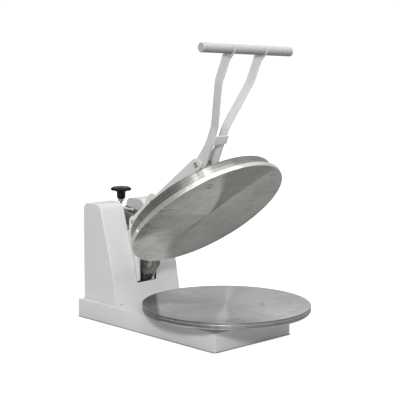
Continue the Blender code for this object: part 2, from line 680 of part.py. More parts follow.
HANDLE_TOP_X, HANDLE_LOW_X = 60.0, 21.0   # sideways place of the arms above and below the bends
HANDLE_T = 5.6                 # thickness of the handle plates
HANDLE_HALF_W = 13.3
HANDLE_AXIS = Vector((-0.397, 0.918)).normalized()     # run of the arms on the side elevation
HANDLE_REAR = Vector((HANDLE_AXIS.y, -HANDLE_AXIS.x))  # square to the run, towards the rear
HANDLE_REF = Vector((26.0, 573.0))        # a point on the arms' centre line
BEND_LOW, BEND_HIGH = -4.0, 128.0         # bends, as distance along the arms from HANDLE_REF
BEND_REACH = 12.0              # each bend is rounded this far either way
BEND_CUTS = (-12.0, -6.0, 0.0, 6.0, 12.0)

# top edge of the rear leg: (along the leg, above its centre line)
LEG_TOP = ((60.0, 13.0), (120.0, 7.6), (160.0, 6.0), (286.0, 6.0), (318.0, 9.0))
# outside of the grip saddle: (degrees round the grip, radius)
SADDLE_LIP = ((212.0, 15.8), (198.0, 16.3), (180.0, 16.3), (158.0, 15.6), (136.0, 14.8),
              (116.0, 14.1))
SEAT_R = GRIP_R + 0.4
SEAT_DEG = (116.0, 335.0)      # saddle seat, front lip to rear end


def arm_x(along):
    """Sideways place of an arm at a distance along it, with rounded bends."""
    def ramp(t):
        if t <= -BEND_REACH:
            return 0.0
        if t >= BEND_REACH:
            return t
        return (t + BEND_REACH) ** 2 / (4 * BEND_REACH)
    slope = (HANDLE_TOP_X - HANDLE_LOW_X) / (BEND_HIGH - BEND_LOW)
    return HANDLE_LOW_X + slope * (ramp(along - BEND_LOW) - ramp(along - BEND_HIGH))


def arm_outline(eye):
    """Blank of one handle arm: hooked saddle under the grip, straight run, knuckle, rear leg."""
    axis, rear, ref = HANDLE_AXIS, HANDLE_REAR, HANDLE_REF
    half_w = HANDLE_HALF_W
    pivot, eye = Vector(HANDLE_PIVOT), Vector(eye)
    leg = (Vector(KNEE) - pivot).normalized()
    leg_up = Vector((-leg.y, leg.x))
    seat = (eye - ref).dot(axis)

    def round_grip(deg, radius):
        a = math.radians(deg)
        return eye + rear * (radius * math.cos(a)) + axis * (radius * math.sin(a))

    low = ref - axis * 45.0 + rear * 12.5
    out = [ref + axis * (seat - 8.5) + rear * half_w, ref + rear * half_w, low]
    # rear edge sweeps back into the leg
    leg_start = pivot + leg_up * 15.0 + leg * 22.0
    pull_low = low - axis * 26.0
    pull_leg = leg_start - leg * 26.0
    for i in range(1, 7):
        t = i / 6
        out.append(low * (1 - t) ** 3 + pull_low * 3 * t * (1 - t) ** 2
                   + pull_leg * 3 * t * t * (1 - t) + leg_start * t ** 3)
    # the leg is waisted so that it passes under the rear spacer of the press arm
    out += [pivot + leg * along + leg_up * up for along, up in LEG_TOP]
    a = math.atan2(leg_up.y, leg_up.x)
    out += circle(tuple(Vector(KNEE)), 14.0, 8, a, a - math.pi)
    out.append(pivot - leg_up * 15.0 + leg * 40.0)
    # front of the knuckle
    under = pivot - leg_up * 15.0 - leg * 4.0
    front = ref - axis * 112.0 - rear * half_w
    corner = front - axis * 16.0 + rear * 3.0
    for i in range(5):
        t = i / 4
        out.append(under * (1 - t) ** 2 + corner * 2 * t * (1 - t) + front * t * t)
    out += [ref - rear * half_w, ref + axis * (seat - 27.5) - rear * half_w]
    # the front edge flares into a thin lip round the front of the grip,
    # then the seat runs back under it
    out += [round_grip(deg, radius) for deg, radius in SADDLE_LIP]
    first, last = SEAT_DEG
    out += [round_grip(first + (last - first) * i / 12, SEAT_R) for i in range(13)]
    return [tuple(p) for p in out]


def bend_sideways(me, side):
    """Cut the flat blank across at each bend and offset it along X."""
    bm = bmesh.new()
    bm.from_mesh(me)
    ref = Vector(((HANDLE_REF.x - HANDLE_PIVOT[0]) * MM, (HANDLE_REF.y - HANDLE_PIVOT[1]) * MM, 0))
    axis = Vector((HANDLE_AXIS.x, HANDLE_AXIS.y, 0))
    for bend in (BEND_LOW, BEND_HIGH):
        for cut in BEND_CUTS:
            bmesh.ops.bisect_plane(bm, geom=bm.verts[:] + bm.edges[:] + bm.faces[:], dist=1e-7,
                                   plane_co=ref + axis * (bend + cut) * MM, plane_no=axis)
    for v in bm.verts:
        v.co.z += side * arm_x((v.co - ref).dot(axis) / MM) * MM
    bmesh.ops.recalc_face_normals(bm, faces=bm.faces)
    bm.to_mesh(me)
    bm.free()


def handle_arms():
    for side_name, side in SIDES:
        eye = (GRIP[0], GRIP[1] - side * HANDLE_TOP_X * math.tan(GRIP_TILT))
        holes = [(*HANDLE_PIVOT, PIVOT_TUBE_R + GAP), (*KNEE, PIN_HOLE)]
        arm = plate("handle_arm_" + side_name, arm_outline(eye), holes,
                    -HANDLE_T / 2, HANDLE_T / 2, HANDLE_PIVOT, edge=0.5)
        bend_sideways(arm.data, side)
        finished(arm, WHITE)


def handle_cross_plate():
    """Flat cross plate over the front edges of the two arms."""
    middle = HANDLE_REF - HANDLE_AXIS * 36.5 - HANDLE_REAR * 16.0
    ob = box("handle_cross_plate", (-25.5, -2.0, -12.5), (25.5, 2.0, 12.5))
    mod = ob.modifiers.new("bevel", "BEVEL")
    mod.width = 0.35 * MM
    mod.segments = 1
    mod.limit_method = "ANGLE"
    mod.angle_limit = math.radians(40.0)
    lean = math.atan2(-HANDLE_AXIS.x, HANDLE_AXIS.y)
    ob.matrix_world = (Matrix.Translation(Vector((0, middle.x, middle.y)) * MM)
                       @ Matrix.Rotation(lean, 4, "X"))
    finished(bake(ob), WHITE)


def grip():
    """T grip: tube with two end plugs, all on one slightly tilted axis."""
    axis = Vector((math.cos(GRIP_TILT), 0, -math.sin(GRIP_TILT)))
    middle = Vector((0, *GRIP))
    r, bore, half = GRIP_R, GRIP_R - GRIP_WALL, GRIP_HALF - PLUG_CAP
    turned("handle_grip", [(bore, half), (r, half), (r, -half), (bore, -half)],
           middle, 28, WHITE, axis, loop=True)
    profile = [(0, PLUG_CAP), (r - 1.2, PLUG_CAP), (r, PLUG_CAP - 1.2), (r, GAP),
               (bore - GAP, GAP), (bore - GAP, -14.0), (0, -14.0)]
    for side_name, side in SIDES:
        turned("grip_plug_" + side_name, profile, middle + axis * (side * half), 28, WHITE,
               axis * side)


# ---------------------------------------------------------------- toggle, adjuster and knob
def toggle():
    plate_pair("toggle_link", hull([(TOGGLE_GROUND, 13.0), (KNEE, 12.0)], 20),
               [(*TOGGLE_GROUND, PIN_R + LOOSE), (*KNEE, PIN_HOLE)],
               LINK_IN, LINK_OUT, TOGGLE_GROUND, STEEL)
    pin("toggle_knee_pin", KNEE, PIN_R, 17.4)


def adjuster_lever():
    plate_pair("lever_plate", hull([(FULCRUM, 14.5), (TOGGLE_GROUND, 12.0), (TRUNNION, 9.5)], 24),
               [(*FULCRUM, BOLT_R + LOOSE), (*TOGGLE_GROUND, PIN_HOLE), (*TRUNNION, PIN_HOLE)],
               LEVER_IN, LEVER_OUT, FULCRUM, CAST)
    pin("toggle_ground_pin", TOGGLE_GROUND, PIN_R, 23.6)
    bolt("lever_fulcrum_bolt", FULCRUM, -FRAME_OUT - GAP, 47.0, BOLT_R, 6.6, 4.2)
    nut("lever_fulcrum_nut", FULCRUM, 9.2, BOLT_HOLE, FRAME_OUT + GAP, 44.5, 0.8)


STUD_TIP_Y = 384.0


def trunnion():
    """Cross rod whose thick middle is the nut of the screw."""
    y, z = TRUNNION
    upper = [(0, 28.0), (5.4, 28.0), (PIN_R, 27.4), (PIN_R, 11.0), (10.0, 9.6)]
    profile = upper + [(r, -h) for r, h in reversed(upper)]
    rod = turned("trunnion_rod", profile, (0, y, z), 24, axis=(1, 0, 0))
    # guide stud screwed into the barrel, pointing forward between the lever plates
    root = STUD_TIP_Y - y + 6.2
    stud = turned("trunnion_stud", [(0, 0.0), (2.6, 0.0), (3.2, -0.8), (3.2, root), (0, root)],
                  (0, STUD_TIP_Y, z + 4.5), 12, axis=(0, -1, 0))
    boolean(rod, cutter(stud), "UNION")
    # the screw's hole is long so the lever can rock
    slot = hull([((0.0, y - 1.0), SCREW_HOLE), ((0.0, y + 2.2), SCREW_HOLE)], 24)
    boolean(rod, cutter(flat_plate("trunnion_hole", slot, z - 16, z + 16)))
    take(rod, STEEL)


def bearing_block():
    """Block that holds the foot of the screw, carried between the frame plates."""
    half_w = FRAME_IN - GAP
    outline = fillet([(-half_w, 414, 2), (half_w, 414, 2), (half_w, 452, 4), (-half_w, 452, 4)], 3)
    block = flat_plate("screw_bearing_block", outline, 216.0, 232.0, CAST, 0.6,
                       [(0, KNOB_Y, PIN_HOLE)])
    bolt("block_bolt", BLOCK_BOLT, -FRAME_OUT - GAP, 41.0, BLOCK_BOLT_R, 6.2, 3.6)
    boolean(block, cutter(turned("block_bore", cylinder(BLOCK_BOLT_R + GAP, 40, -40),
                                 (0, *BLOCK_BOLT), 20, axis=(1, 0, 0))))


KNOB_Z = 335.0                 # underside of the knob's hub
SCALLOPS = 7
SCALLOP_R = 10.0
SCALLOP_RING_R = 36.5


def adjusting_screw():
    top = KNOB_Z - GAP
    # thread, then a collar that rests on the bearing block, then the foot inside the block
    profile = [(0, top), (SCREW_R, top), (SCREW_R, 262.0), (6.0, 258.0), (6.0, 248.0),
               (9.0, 246.0), (9.0, 232.4), (6.0, 232.4), (6.0, 212.0), (5.2, 211.0), (0, 211.0)]
    turned("adjusting_screw", profile, (0, KNOB_Y, 0), 16, STEEL)
    flat_plate("knob_lock_nut", circle((0, KNOB_Y), 9.0, 6), 327.4, 333.6, STEEL, 0.7,
               [(0, KNOB_Y, SCREW_HOLE)])


def knob():
    """Star knob: domed cap on a round hub, finger scallops round the rim."""
    profile = [(0, 37.0), (12.0, 36.6), (23.0, 35.0), (29.6, 32.2), (31.0, 29.6), (31.0, 27.0),
               (29.0, 24.6), (16.0, 22.8), (13.0, 18.5), (12.6, 3.0), (10.6, 0.0), (0, 0.0)]
    body = turned("adjusting_knob", profile, (0, KNOB_Y, KNOB_Z), 42)
    for i in range(SCALLOPS):
        a = 2 * math.pi * (i + 0.5) / SCALLOPS
        centre = (SCALLOP_RING_R * math.cos(a), KNOB_Y + SCALLOP_RING_R * math.sin(a), KNOB_Z + 32)
        boolean(body, cutter(turned(f"scallop_{i}", cylinder(SCALLOP_R, 20, -11), centre, 18)))
    take(body, BLACK)


# ---------------------------------------------------------------- build
base_pan()
feet()
housing()
housing_screws()
frame()
counter_springs()
lower_platen()
upper_platen()
press_arm()
arm_bars()
platen_bracket()
handle_pivot()
handle_arms()
handle_cross_plate()
grip()
toggle()
adjuster_lever()
trunnion()
bearing_block()
adjusting_screw()
knob()
bpy.context.view_layer.update()

# bring the middle of the press over the origin, cutters included
for ob in bpy.data.objects:
    ob.matrix_world = Matrix.Translation((0.0, -ORIGIN_Y * MM, 0.0)) @ ob.matrix_world
bpy.context.view_layer.update()
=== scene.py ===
"""Looks for a swing-up dough press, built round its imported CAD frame.

Metres, +Z up, floor at z = 0. The round platens are centred on x = 0. The arm carrying the upper
platen is shown swung up about the arm hinge, an X axis.
"""
import json
import math
import random

import bpy
import bmesh
from mathutils import Matrix, Vector

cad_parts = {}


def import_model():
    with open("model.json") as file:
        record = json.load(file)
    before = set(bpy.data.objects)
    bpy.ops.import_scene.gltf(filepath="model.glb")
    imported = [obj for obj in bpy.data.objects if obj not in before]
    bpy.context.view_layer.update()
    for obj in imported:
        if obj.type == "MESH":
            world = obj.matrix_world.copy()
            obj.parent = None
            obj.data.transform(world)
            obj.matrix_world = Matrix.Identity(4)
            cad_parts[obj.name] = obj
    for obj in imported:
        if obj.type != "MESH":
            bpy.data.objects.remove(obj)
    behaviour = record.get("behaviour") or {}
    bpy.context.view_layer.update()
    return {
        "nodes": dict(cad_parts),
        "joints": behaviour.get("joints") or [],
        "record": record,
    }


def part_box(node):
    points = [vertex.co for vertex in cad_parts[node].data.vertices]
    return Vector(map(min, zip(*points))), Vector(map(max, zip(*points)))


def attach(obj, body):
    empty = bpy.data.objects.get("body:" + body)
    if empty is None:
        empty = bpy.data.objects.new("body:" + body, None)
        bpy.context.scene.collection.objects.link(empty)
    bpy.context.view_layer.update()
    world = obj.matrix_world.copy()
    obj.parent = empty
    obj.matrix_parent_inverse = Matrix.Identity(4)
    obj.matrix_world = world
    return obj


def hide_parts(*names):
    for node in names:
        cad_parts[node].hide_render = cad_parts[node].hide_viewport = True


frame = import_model()
NODES = frame["nodes"]
JOINTS = {j["name"]: j for j in frame["joints"]}
BODY = {node: body for body, nodes in frame["record"]["behaviour"]["bodies"].items()
        for node in nodes}
random.seed(7)


def low(node):
    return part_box(node)[0]


def high(node):
    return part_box(node)[1]


def middle(node):
    return (low(node) + high(node)) / 2


def pair(stem):
    """Names of a left and a right node."""
    return stem + "_left", stem + "_right"


LOWER_TOP = high("lower_platen").z
LOWER_BOTTOM = low("lower_platen").z
PLATEN_R = high("lower_platen").x
PLATEN_Y = middle("lower_platen").y
HINGE = Vector(JOINTS["arm_hinge"]["pos_m"])
SWING = math.radians(JOINTS["arm_hinge"]["range_deg"][1])
SWUNG = (Matrix.Translation(HINGE) @ Matrix.Rotation(-SWING, 4, "X")
         @ Matrix.Translation(-HINGE))

# ------------------------------------------------------------------ shader helpers
NOISE_SPAN = (0.3, 0.7)     # where most noise values lie
SIGNED = (-1.0, 1.0)
DEG_PER_RAD = 57.2958
AXIS_Z = Vector((0, 0, 1))


def tint(rgb, gain, add=0.0):
    return [c * gain + add for c in rgb]


def bearing(degrees):
    """Unit vector in the XY plane, counted from +X towards +Y."""
    angle = math.radians(degrees)
    return Vector((math.cos(angle), math.sin(angle), 0))


def square_to(v):
    """A flat vector turned 90 degrees counter-clockwise."""
    return Vector((-v.y, v.x, 0))


class Shader:
    """A new material, with short calls that add nodes and return their output sockets."""

    def __init__(self, name):
        self.material = bpy.data.materials.new(name)
        self.material.use_nodes = True
        self.tree = self.material.node_tree
        self.surface = self.tree.nodes["Principled BSDF"]

    def add(self, kind, **props):
        node = self.tree.nodes.new(kind)
        count = len(self.tree.nodes) - 2
        node.location = (-220 * (count % 7) - 200, 300 - 160 * (count // 7))
        for key, value in props.items():
            setattr(node, key, value)
        return node

    def put(self, socket, value):
        """Link a socket, or set a plain value."""
        if hasattr(value, "is_linked"):
            self.tree.links.new(value, socket)
        else:
            socket.default_value = value

    def drive(self, inputs):
        """Fill inputs of the Principled shader by name."""
        for name, value in inputs.items():
            self.put(self.surface.inputs[name], value)

    def place(self):
        return self.add("ShaderNodeTexCoord").outputs["Object"]

    def mapped(self, place, scale, spin=0.0):
        node = self.add("ShaderNodeMapping")
        node.inputs["Scale"].default_value = scale
        node.inputs["Rotation"].default_value = (0, 0, spin)
        self.put(node.inputs["Vector"], place)
        return node.outputs["Vector"]

    def coords(self, scale=(1, 1, 1)):
        return self.mapped(self.place(), scale)

    def noise(self, where, scale, detail=3.0, rough=0.5, warp=0.0, dims="3D"):
        node = self.add("ShaderNodeTexNoise", noise_dimensions=dims)
        self.put(node.inputs["W" if dims == "1D" else "Vector"], where)
        node.inputs["Scale"].default_value = scale
        node.inputs["Detail"].default_value = detail
        node.inputs["Roughness"].default_value = rough
        node.inputs["Distortion"].default_value = warp
        return node.outputs["Fac"]

    def remap(self, value, source, target=(0.0, 1.0)):
        """Map the source range onto the target range, clamped."""
        node = self.add("ShaderNodeMapRange")
        self.put(node.inputs["Value"], value)
        for i, bound in enumerate((*source, *target)):
            node.inputs[i + 1].default_value = bound
        return node.outputs["Result"]

    def math(self, operation, first, second=0.0, third=None):
        node = self.add("ShaderNodeMath", operation=operation)
        self.put(node.inputs[0], first)
        self.put(node.inputs[1], second)
        if third is not None:
            self.put(node.inputs[2], third)
        return node.outputs[0]

    def times(self, first, second):
        return self.math("MULTIPLY", first, second)

    def offset(self, start, value, amount):
        """start + value * amount"""
        return self.math("MULTIPLY_ADD", value, amount, start)

    def vmath(self, operation, first, second=None):
        node = self.add("ShaderNodeVectorMath", operation=operation)
        self.put(node.inputs[0], first)
        if second is not None:
            self.put(node.inputs[1], second)
        return node.outputs["Value" if operation in ("LENGTH", "DOT_PRODUCT") else "Vector"]

    def dot(self, first, second):
        return self.vmath("DOT_PRODUCT", first, second)

    def scaled(self, vector, factor):
        node = self.add("ShaderNodeVectorMath", operation="SCALE")
        self.put(node.inputs[0], vector)
        self.put(node.inputs["Scale"], factor)
        return node.outputs["Vector"]

    def mix(self, factor, first, second):
        node = self.add("ShaderNodeMix", data_type="RGBA")
        self.put(node.inputs["Factor"], factor)
        for socket, value in ((node.inputs[6], first), (node.inputs[7], second)):
            self.put(socket, value if hasattr(value, "is_linked") else (*value, 1.0))
        return node.outputs[2]

    def bump(self, height, strength, distance):
        node = self.add("ShaderNodeBump")
        node.inputs["Strength"].default_value = strength
        node.inputs["Distance"].default_value = distance
        self.put(node.inputs["Height"], height)
        return node.outputs["Normal"]

    def edge(self, radius):
        """About 1 on sharp edges, 0 on flats."""
        bevel = self.add("ShaderNodeBevel", samples=4)
        bevel.inputs["Radius"].default_value = radius
        geometry = self.add("ShaderNodeNewGeometry")
        same = self.dot(bevel.outputs["Normal"], geometry.outputs["Normal"])
        return self.remap(self.math("SUBTRACT", 1.0, same), (0.004, 0.05))

    def axis_distance(self, point, axis):
        """Distance from the line through point along axis."""
        away = self.vmath("SUBTRACT", self.place(), point)
        return self.vmath("LENGTH", self.vmath("CROSS_PRODUCT", away, axis))


# ------------------------------------------------------------------ material recipes
def powder(name, rgb, rough=0.40, tone=1.0, under=None, near=None):
    """Powder coat: orange peel, faint tone drift, dulled patches and paler edges.

    under = (gain facing down, gain facing up): painted shade on down-facing and painted light on
    up-facing surfaces.
    near = (point, axis, radius, gain) tints everything that close to an axis.
    """
    mat = Shader(name)
    place = mat.coords()
    drift = mat.noise(place, scale=7.0, detail=2.0)
    fine = mat.noise(place, scale=60.0, detail=4.0, rough=0.6)
    base = mat.mix(mat.remap(drift, NOISE_SPAN),
                   tint(tint(rgb, 0.975), tone), tint(tint(rgb, 1.01), tone))
    patches = mat.noise(place, scale=23.0, detail=6.0, rough=0.65, warp=0.6)
    base = mat.mix(mat.remap(patches, (0.56, 0.78), (0.0, 0.10)), base, tint(rgb, 0.78))
    worn = mat.times(mat.edge(0.0012), mat.remap(fine, (0.45, 0.62), (0.05, 0.55)))
    base = mat.mix(mat.times(worn, 0.12), base, (0.93, 0.93, 0.92))
    # painted light and shade by facing: up-facing surfaces lighter, down-facing darker
    if under:
        painted_down_gain, painted_up_gain = under
        geometry = mat.add("ShaderNodeNewGeometry")
        split = mat.add("ShaderNodeSeparateXYZ")
        mat.put(split.inputs[0], geometry.outputs["Normal"])
        facing_up = mat.remap(split.outputs["Z"], (-0.75, 0.85))
        base = mat.scaled(base, mat.offset(painted_down_gain, facing_up, painted_up_gain - painted_down_gain))
    if near:
        point, axis, radius, gain = near
        away = mat.axis_distance(point, axis)
        base = mat.scaled(base, mat.remap(away, (radius * 0.9, radius * 1.15), (gain, 1.0)))
    peel = mat.noise(place, scale=620.0, detail=2.0, rough=0.45)
    fine_peel = mat.noise(place, scale=2100.0, detail=1.0)
    mat.drive({
        "Base Color": base,
        "Roughness": mat.remap(fine, NOISE_SPAN, (rough - 0.06, rough + 0.08)),
        "Normal": mat.bump(mat.offset(peel, fine_peel, 0.25), strength=0.22, distance=0.0002),
        "Coat Weight": 0.12,
        "Coat Roughness": 0.22,
    })
    return mat.material


def painted_sector_light(mat, unit, radius, angle, half_width, gain, start, full):
    """Painted reflection: tint a sector with soft sides, growing from radius start to full."""
    half = math.radians(half_width)
    inside = mat.remap(mat.dot(unit, bearing(angle)), (math.cos(half), math.cos(half * 0.6)))
    part = mat.times(inside, mat.remap(radius, (start, full)))
    return mat.offset(1.0, part, gain - 1.0)


def painted_blade_light(mat, unit, radius, centre, from_in, to_in, from_out, to_out, inner, outer,
               soft, gain, start, full):
    """Painted reflection: tint a sector whose two edges swing as the radius goes from inner to
    outer.
    """
    ahead = bearing(centre)
    forward = mat.dot(unit, ahead)
    sideways = mat.dot(unit, square_to(ahead))
    turn = mat.times(mat.math("ARCTAN2", sideways, forward), DEG_PER_RAD)
    span = (inner, outer)
    past = mat.math("SUBTRACT", turn,
                    mat.remap(radius, span, (from_in - centre, from_out - centre)))
    short = mat.math("SUBTRACT",
                     mat.remap(radius, span, (to_in - centre, to_out - centre)), turn)
    part = mat.times(mat.remap(past, (-soft, soft)), mat.remap(short, (-soft, soft)))
    part = mat.times(part, mat.remap(radius, (start, full)))
    return mat.offset(1.0, part, gain - 1.0)


def stain_mask(mat, flat, x, y, half_width, direction, stretch):
    """Soft oval spot, 0.42 at its middle and 0 outside."""
    ahead = bearing(direction)
    away = mat.vmath("SUBTRACT", flat, Vector((x, y, 0)))
    u = mat.math("DIVIDE", mat.dot(away, ahead), stretch)
    v = mat.dot(away, square_to(ahead))
    far = mat.math("SQRT", mat.math("ADD", mat.times(u, u), mat.times(v, v)))
    return mat.remap(far, (half_width * 0.75, half_width * 1.1), (0.42, 0.0))


def turned_metal(name, rgb, rough, aniso, contrast=1.0, ring_shift=0.0, painted_fan=0.05, painted_sectors=(),
                 scored=0.42, stain=None, painted_blades=(), painted_chord=None, band=(55.0, 0.035)):
    """Metal turned about local Z: rings, painted fan reflections from the centre, smears and short
    scratches.

    sectors, blades and stain hold the trailing arguments of the functions above; the sector and
    blade tints are painted reflections and highlights, the stain is a real stain.
    chord = (angle, distance, softness, gain) tints a segment with a painted dark reflection.
    scored = scratch strength; band = (frequency, strength) of the coarse turning marks.
    """
    mat = Shader(name)
    place = mat.place()
    away = mat.vmath("SUBTRACT", place, Vector((0, 0, 0)))
    along_axis = mat.dot(away, AXIS_Z)
    flat = mat.vmath("SUBTRACT", away, mat.scaled(AXIS_Z, along_axis))
    radius = mat.vmath("LENGTH", flat)
    to_world = mat.add("ShaderNodeVectorTransform", vector_type="VECTOR",
                       convert_from="OBJECT", convert_to="WORLD")
    mat.put(to_world.inputs["Vector"], mat.vmath("CROSS_PRODUCT", AXIS_Z, flat))
    tangent = mat.vmath("NORMALIZE", to_world.outputs["Vector"])

    track = mat.math("ADD", mat.math("ADD", radius, along_axis), ring_shift)
    rings = mat.noise(track, scale=900.0, rough=0.7, dims="1D")
    bands = mat.noise(track, scale=band[0], rough=0.6, dims="1D")
    smear = mat.noise(place, scale=9.0, detail=5.0, rough=0.6, warp=0.8)
    marks = mat.remap(mat.noise(place, scale=34.0, detail=6.0, rough=0.7, warp=1.4), (0.56, 0.72))
    tone = 1.0
    for pattern, depth in ((bands, band[1]), (rings, 0.05), (smear, 0.06)):
        tone = mat.offset(tone, mat.remap(pattern, NOISE_SPAN, SIGNED), depth * contrast)
    colour = mat.scaled(rgb, tone)

    # painted fan reflections: tone that depends only on the direction from the centre
    unit = mat.vmath("NORMALIZE", flat)
    painted_fans = mat.noise(unit, scale=3.2, detail=6.0, rough=0.62)
    gain = mat.offset(1.0, mat.remap(painted_fans, NOISE_SPAN, SIGNED), painted_fan)
    # painted reflections and highlights: the sector, blade and chord tints
    for sector in painted_sectors:
        gain = mat.times(gain, painted_sector_light(mat, unit, radius, *sector))
    for blade in painted_blades:
        gain = mat.times(gain, painted_blade_light(mat, unit, radius, *blade))
    if painted_chord:
        angle, distance, soft, painted_chord_gain = painted_chord
        reach = mat.dot(flat, bearing(angle))
        gain = mat.times(gain, mat.remap(reach, (distance - soft, distance + soft),
                                         (1.0, painted_chord_gain)))

    # short scratches, mostly near the rim, and long faint wipes
    drawn = mat.mapped(place, scale=(16.0, 120.0, 16.0), spin=0.9)
    cut = 0.17 * scored
    dashes = mat.remap(mat.noise(drawn, scale=1.0, detail=2.0), (0.67 - cut, 0.75 - cut))
    wipes = mat.remap(mat.noise(drawn, scale=0.35, detail=4.0, rough=0.6), (0.35, 0.65), SIGNED)
    areas = mat.remap(mat.noise(place, scale=11.0, rough=0.6), (0.48, 0.60))
    scratches = mat.times(mat.times(dashes, areas), mat.remap(radius, (0.10, 0.20), (0.10, 1.0)))
    gain = mat.times(gain, mat.offset(1.0, wipes, 0.035 * contrast))

    base = mat.mix(mat.times(marks, 0.22), mat.scaled(colour, gain), tint(rgb, 0.72))
    base = mat.mix(mat.times(scratches, scored), base, tint(rgb, 0.45))
    if stain:
        base = mat.mix(stain_mask(mat, flat, *stain), base, tint(rgb, 0.55))
    dull = mat.offset(rough, mat.remap(bands, NOISE_SPAN, SIGNED), 0.035)
    mat.drive({
        "Tangent": tangent,
        "Base Color": base,
        "Metallic": 1.0,
        "Roughness": mat.offset(dull, mat.remap(smear, (0.35, 0.7)), 0.06),
        "Anisotropic": aniso,
        "Normal": mat.bump(rings, strength=0.10, distance=0.00012),
    })
    return mat.material


def steel(name, rgb=(0.60, 0.60, 0.58), rough=0.28, stretch=(1, 1, 14), spots=0.25, metal=1.0):
    """Zinc or machined steel with fine drawn grain and a little dulling."""
    mat = Shader(name)
    stretched = mat.coords(stretch)
    place = mat.coords()
    grain = mat.noise(stretched, scale=320.0, rough=0.6)
    dull = mat.remap(mat.noise(place, scale=90.0, detail=5.0, rough=0.65, warp=0.5), (0.48, 0.72))
    base = mat.mix(mat.remap(grain, NOISE_SPAN), tint(rgb, 0.86), tint(rgb, 1.08))
    mat.drive({
        "Base Color": mat.mix(mat.times(dull, spots), base, tint(rgb, 0.45)),
        "Metallic": metal,
        "Roughness": mat.offset(rough, dull, 0.18),
        "Normal": mat.bump(grain, strength=0.12, distance=0.0001),
    })
    return mat.material


def casting(name, rgb, rough, metal, grain_scale=480.0, painted_light_rings=()):
    """Casting with a pebbled skin, rubbed paler on its edges.

    pads = ((point, axis, inner radius, outer radius, gain), ...) tints round spots with painted
    shade and painted highlight.
    """
    mat = Shader(name)
    place = mat.coords()
    grain = mat.noise(place, scale=grain_scale, detail=4.0, rough=0.6)
    cloud = mat.noise(place, scale=26.0, detail=4.0, rough=0.6)
    base = mat.mix(mat.remap(cloud, NOISE_SPAN), tint(rgb, 0.8), tint(rgb, 1.25))
    rub = mat.times(mat.edge(0.0011), mat.remap(grain, (0.4, 0.6), (0.2, 0.9)))
    base = mat.mix(mat.times(rub, 0.5), base, tint(rgb, 2.6, add=0.05))
    for point, axis, inner, outer, gain in painted_light_rings:
        away = mat.axis_distance(point, axis)
        base = mat.scaled(base, mat.remap(away, (inner, outer), (gain, 1.0)))
    mat.drive({
        "Base Color": base,
        "Metallic": metal,
        "Roughness": mat.remap(grain, NOISE_SPAN, (rough - 0.1, rough + 0.14)),
        "Normal": mat.bump(grain, strength=0.35, distance=0.0004),
    })
    return mat.material


def plastic(name, rgb, rough, grain_scale=700.0, strength=0.12):
    """Dark moulding with scuffs and paler edges."""
    mat = Shader(name)
    place = mat.coords()
    grain = mat.noise(place, scale=grain_scale)
    scuffs = mat.remap(mat.noise(place, scale=70.0, detail=5.0, rough=0.7, warp=0.8), (0.5, 0.75))
    base = mat.mix(mat.times(scuffs, 0.45), rgb, tint(rgb, 1.8, add=0.012))
    base = mat.mix(mat.times(mat.edge(0.0009), 0.30), base, tint(rgb, 2.2, add=0.03))
    mat.drive({
        "Base Color": base,
        "Roughness": mat.offset(rough, scuffs, 0.16),
        "Normal": mat.bump(grain, strength=strength, distance=0.0002),
    })
    return mat.material


# ------------------------------------------------------------------ geometry helpers
def new_object(name, bm, mat, body, world, auto=35.0):
    """Finish a bmesh as an object that rides a body; auto = sharp edge angle in degrees."""
    bmesh.ops.remove_doubles(bm, verts=bm.verts, dist=1e-7)
    bmesh.ops.recalc_face_normals(bm, faces=bm.faces)
    mesh = bpy.data.meshes.new(name)
    bm.to_mesh(mesh)
    bm.free()
    ob = bpy.data.objects.new(name, mesh)
    bpy.context.scene.collection.objects.link(ob)
    mesh.materials.append(mat)
    ob.matrix_world = world
    mesh.shade_smooth()
    mesh.set_sharp_from_angle(angle=math.radians(auto))
    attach(ob, body)
    return ob


def angles(steps):
    return [2 * math.pi * i / steps for i in range(steps)]


def add_ring(bm, radii, z):
    """Ring of vertices round Z, one for each radius."""
    return [bm.verts.new((radius * math.cos(angle), radius * math.sin(angle), z))
            for radius, angle in zip(radii, angles(len(radii)))]


def bridge(bm, first, second):
    for i in range(len(first)):
        j = (i + 1) % len(first)
        bm.faces.new((first[i], first[j], second[j], second[i]))


def lathe(profile, steps, warp=None, closed=False):
    """Turn profile [(r, z), ...] round +Z; warp(angle, r, z) may change r."""
    bm = bmesh.new()
    rings = []
    for r, z in profile:
        if r == 0:
            rings.append([bm.verts.new((0, 0, z))])
        else:
            radii = [warp(angle, r, z) if warp else r for angle in angles(steps)]
            rings.append(add_ring(bm, radii, z))
    pairs = list(zip(rings, rings[1:]))
    if closed:
        pairs.append((rings[-1], rings[0]))
    for a, b in pairs:
        for i in range(steps):
            j = (i + 1) % steps
            if len(a) == 1:
                bm.faces.new((a[0], b[i], b[j]))
            elif len(b) == 1:
                bm.faces.new((a[i], b[0], a[j]))
            else:
                bm.faces.new((a[i], b[i], b[j], a[j]))
    return bm


def rounded(points, seg=3):
    """Open profile [(r, z, fillet), ...] with its corners rounded."""
    out = []
    for i, point in enumerate(points):
        corner = Vector(point[:2])
        if len(point) < 3 or i in (0, len(points) - 1):
            out.append(tuple(corner))
            continue
        back = Vector(points[i - 1][:2]) - corner
        ahead = Vector(points[i + 1][:2]) - corner
        fillet = min(point[2], back.length * 0.45, ahead.length * 0.45)
        start = corner + back.normalized() * fillet
        end = corner + ahead.normalized() * fillet
        for k in range(seg + 1):
            t = k / seg
            out.append(tuple(start * (1 - t) ** 2 + corner * 2 * t * (1 - t) + end * t * t))
    return out


def aimed(origin, axis, spin=0.0):
    """Matrix with +Z along axis at origin."""
    turn = AXIS_Z.rotation_difference(Vector(axis).normalized()).to_matrix().to_4x4()
    return Matrix.Translation(Vector(origin)) @ turn @ Matrix.Rotation(spin, 4, "Z")


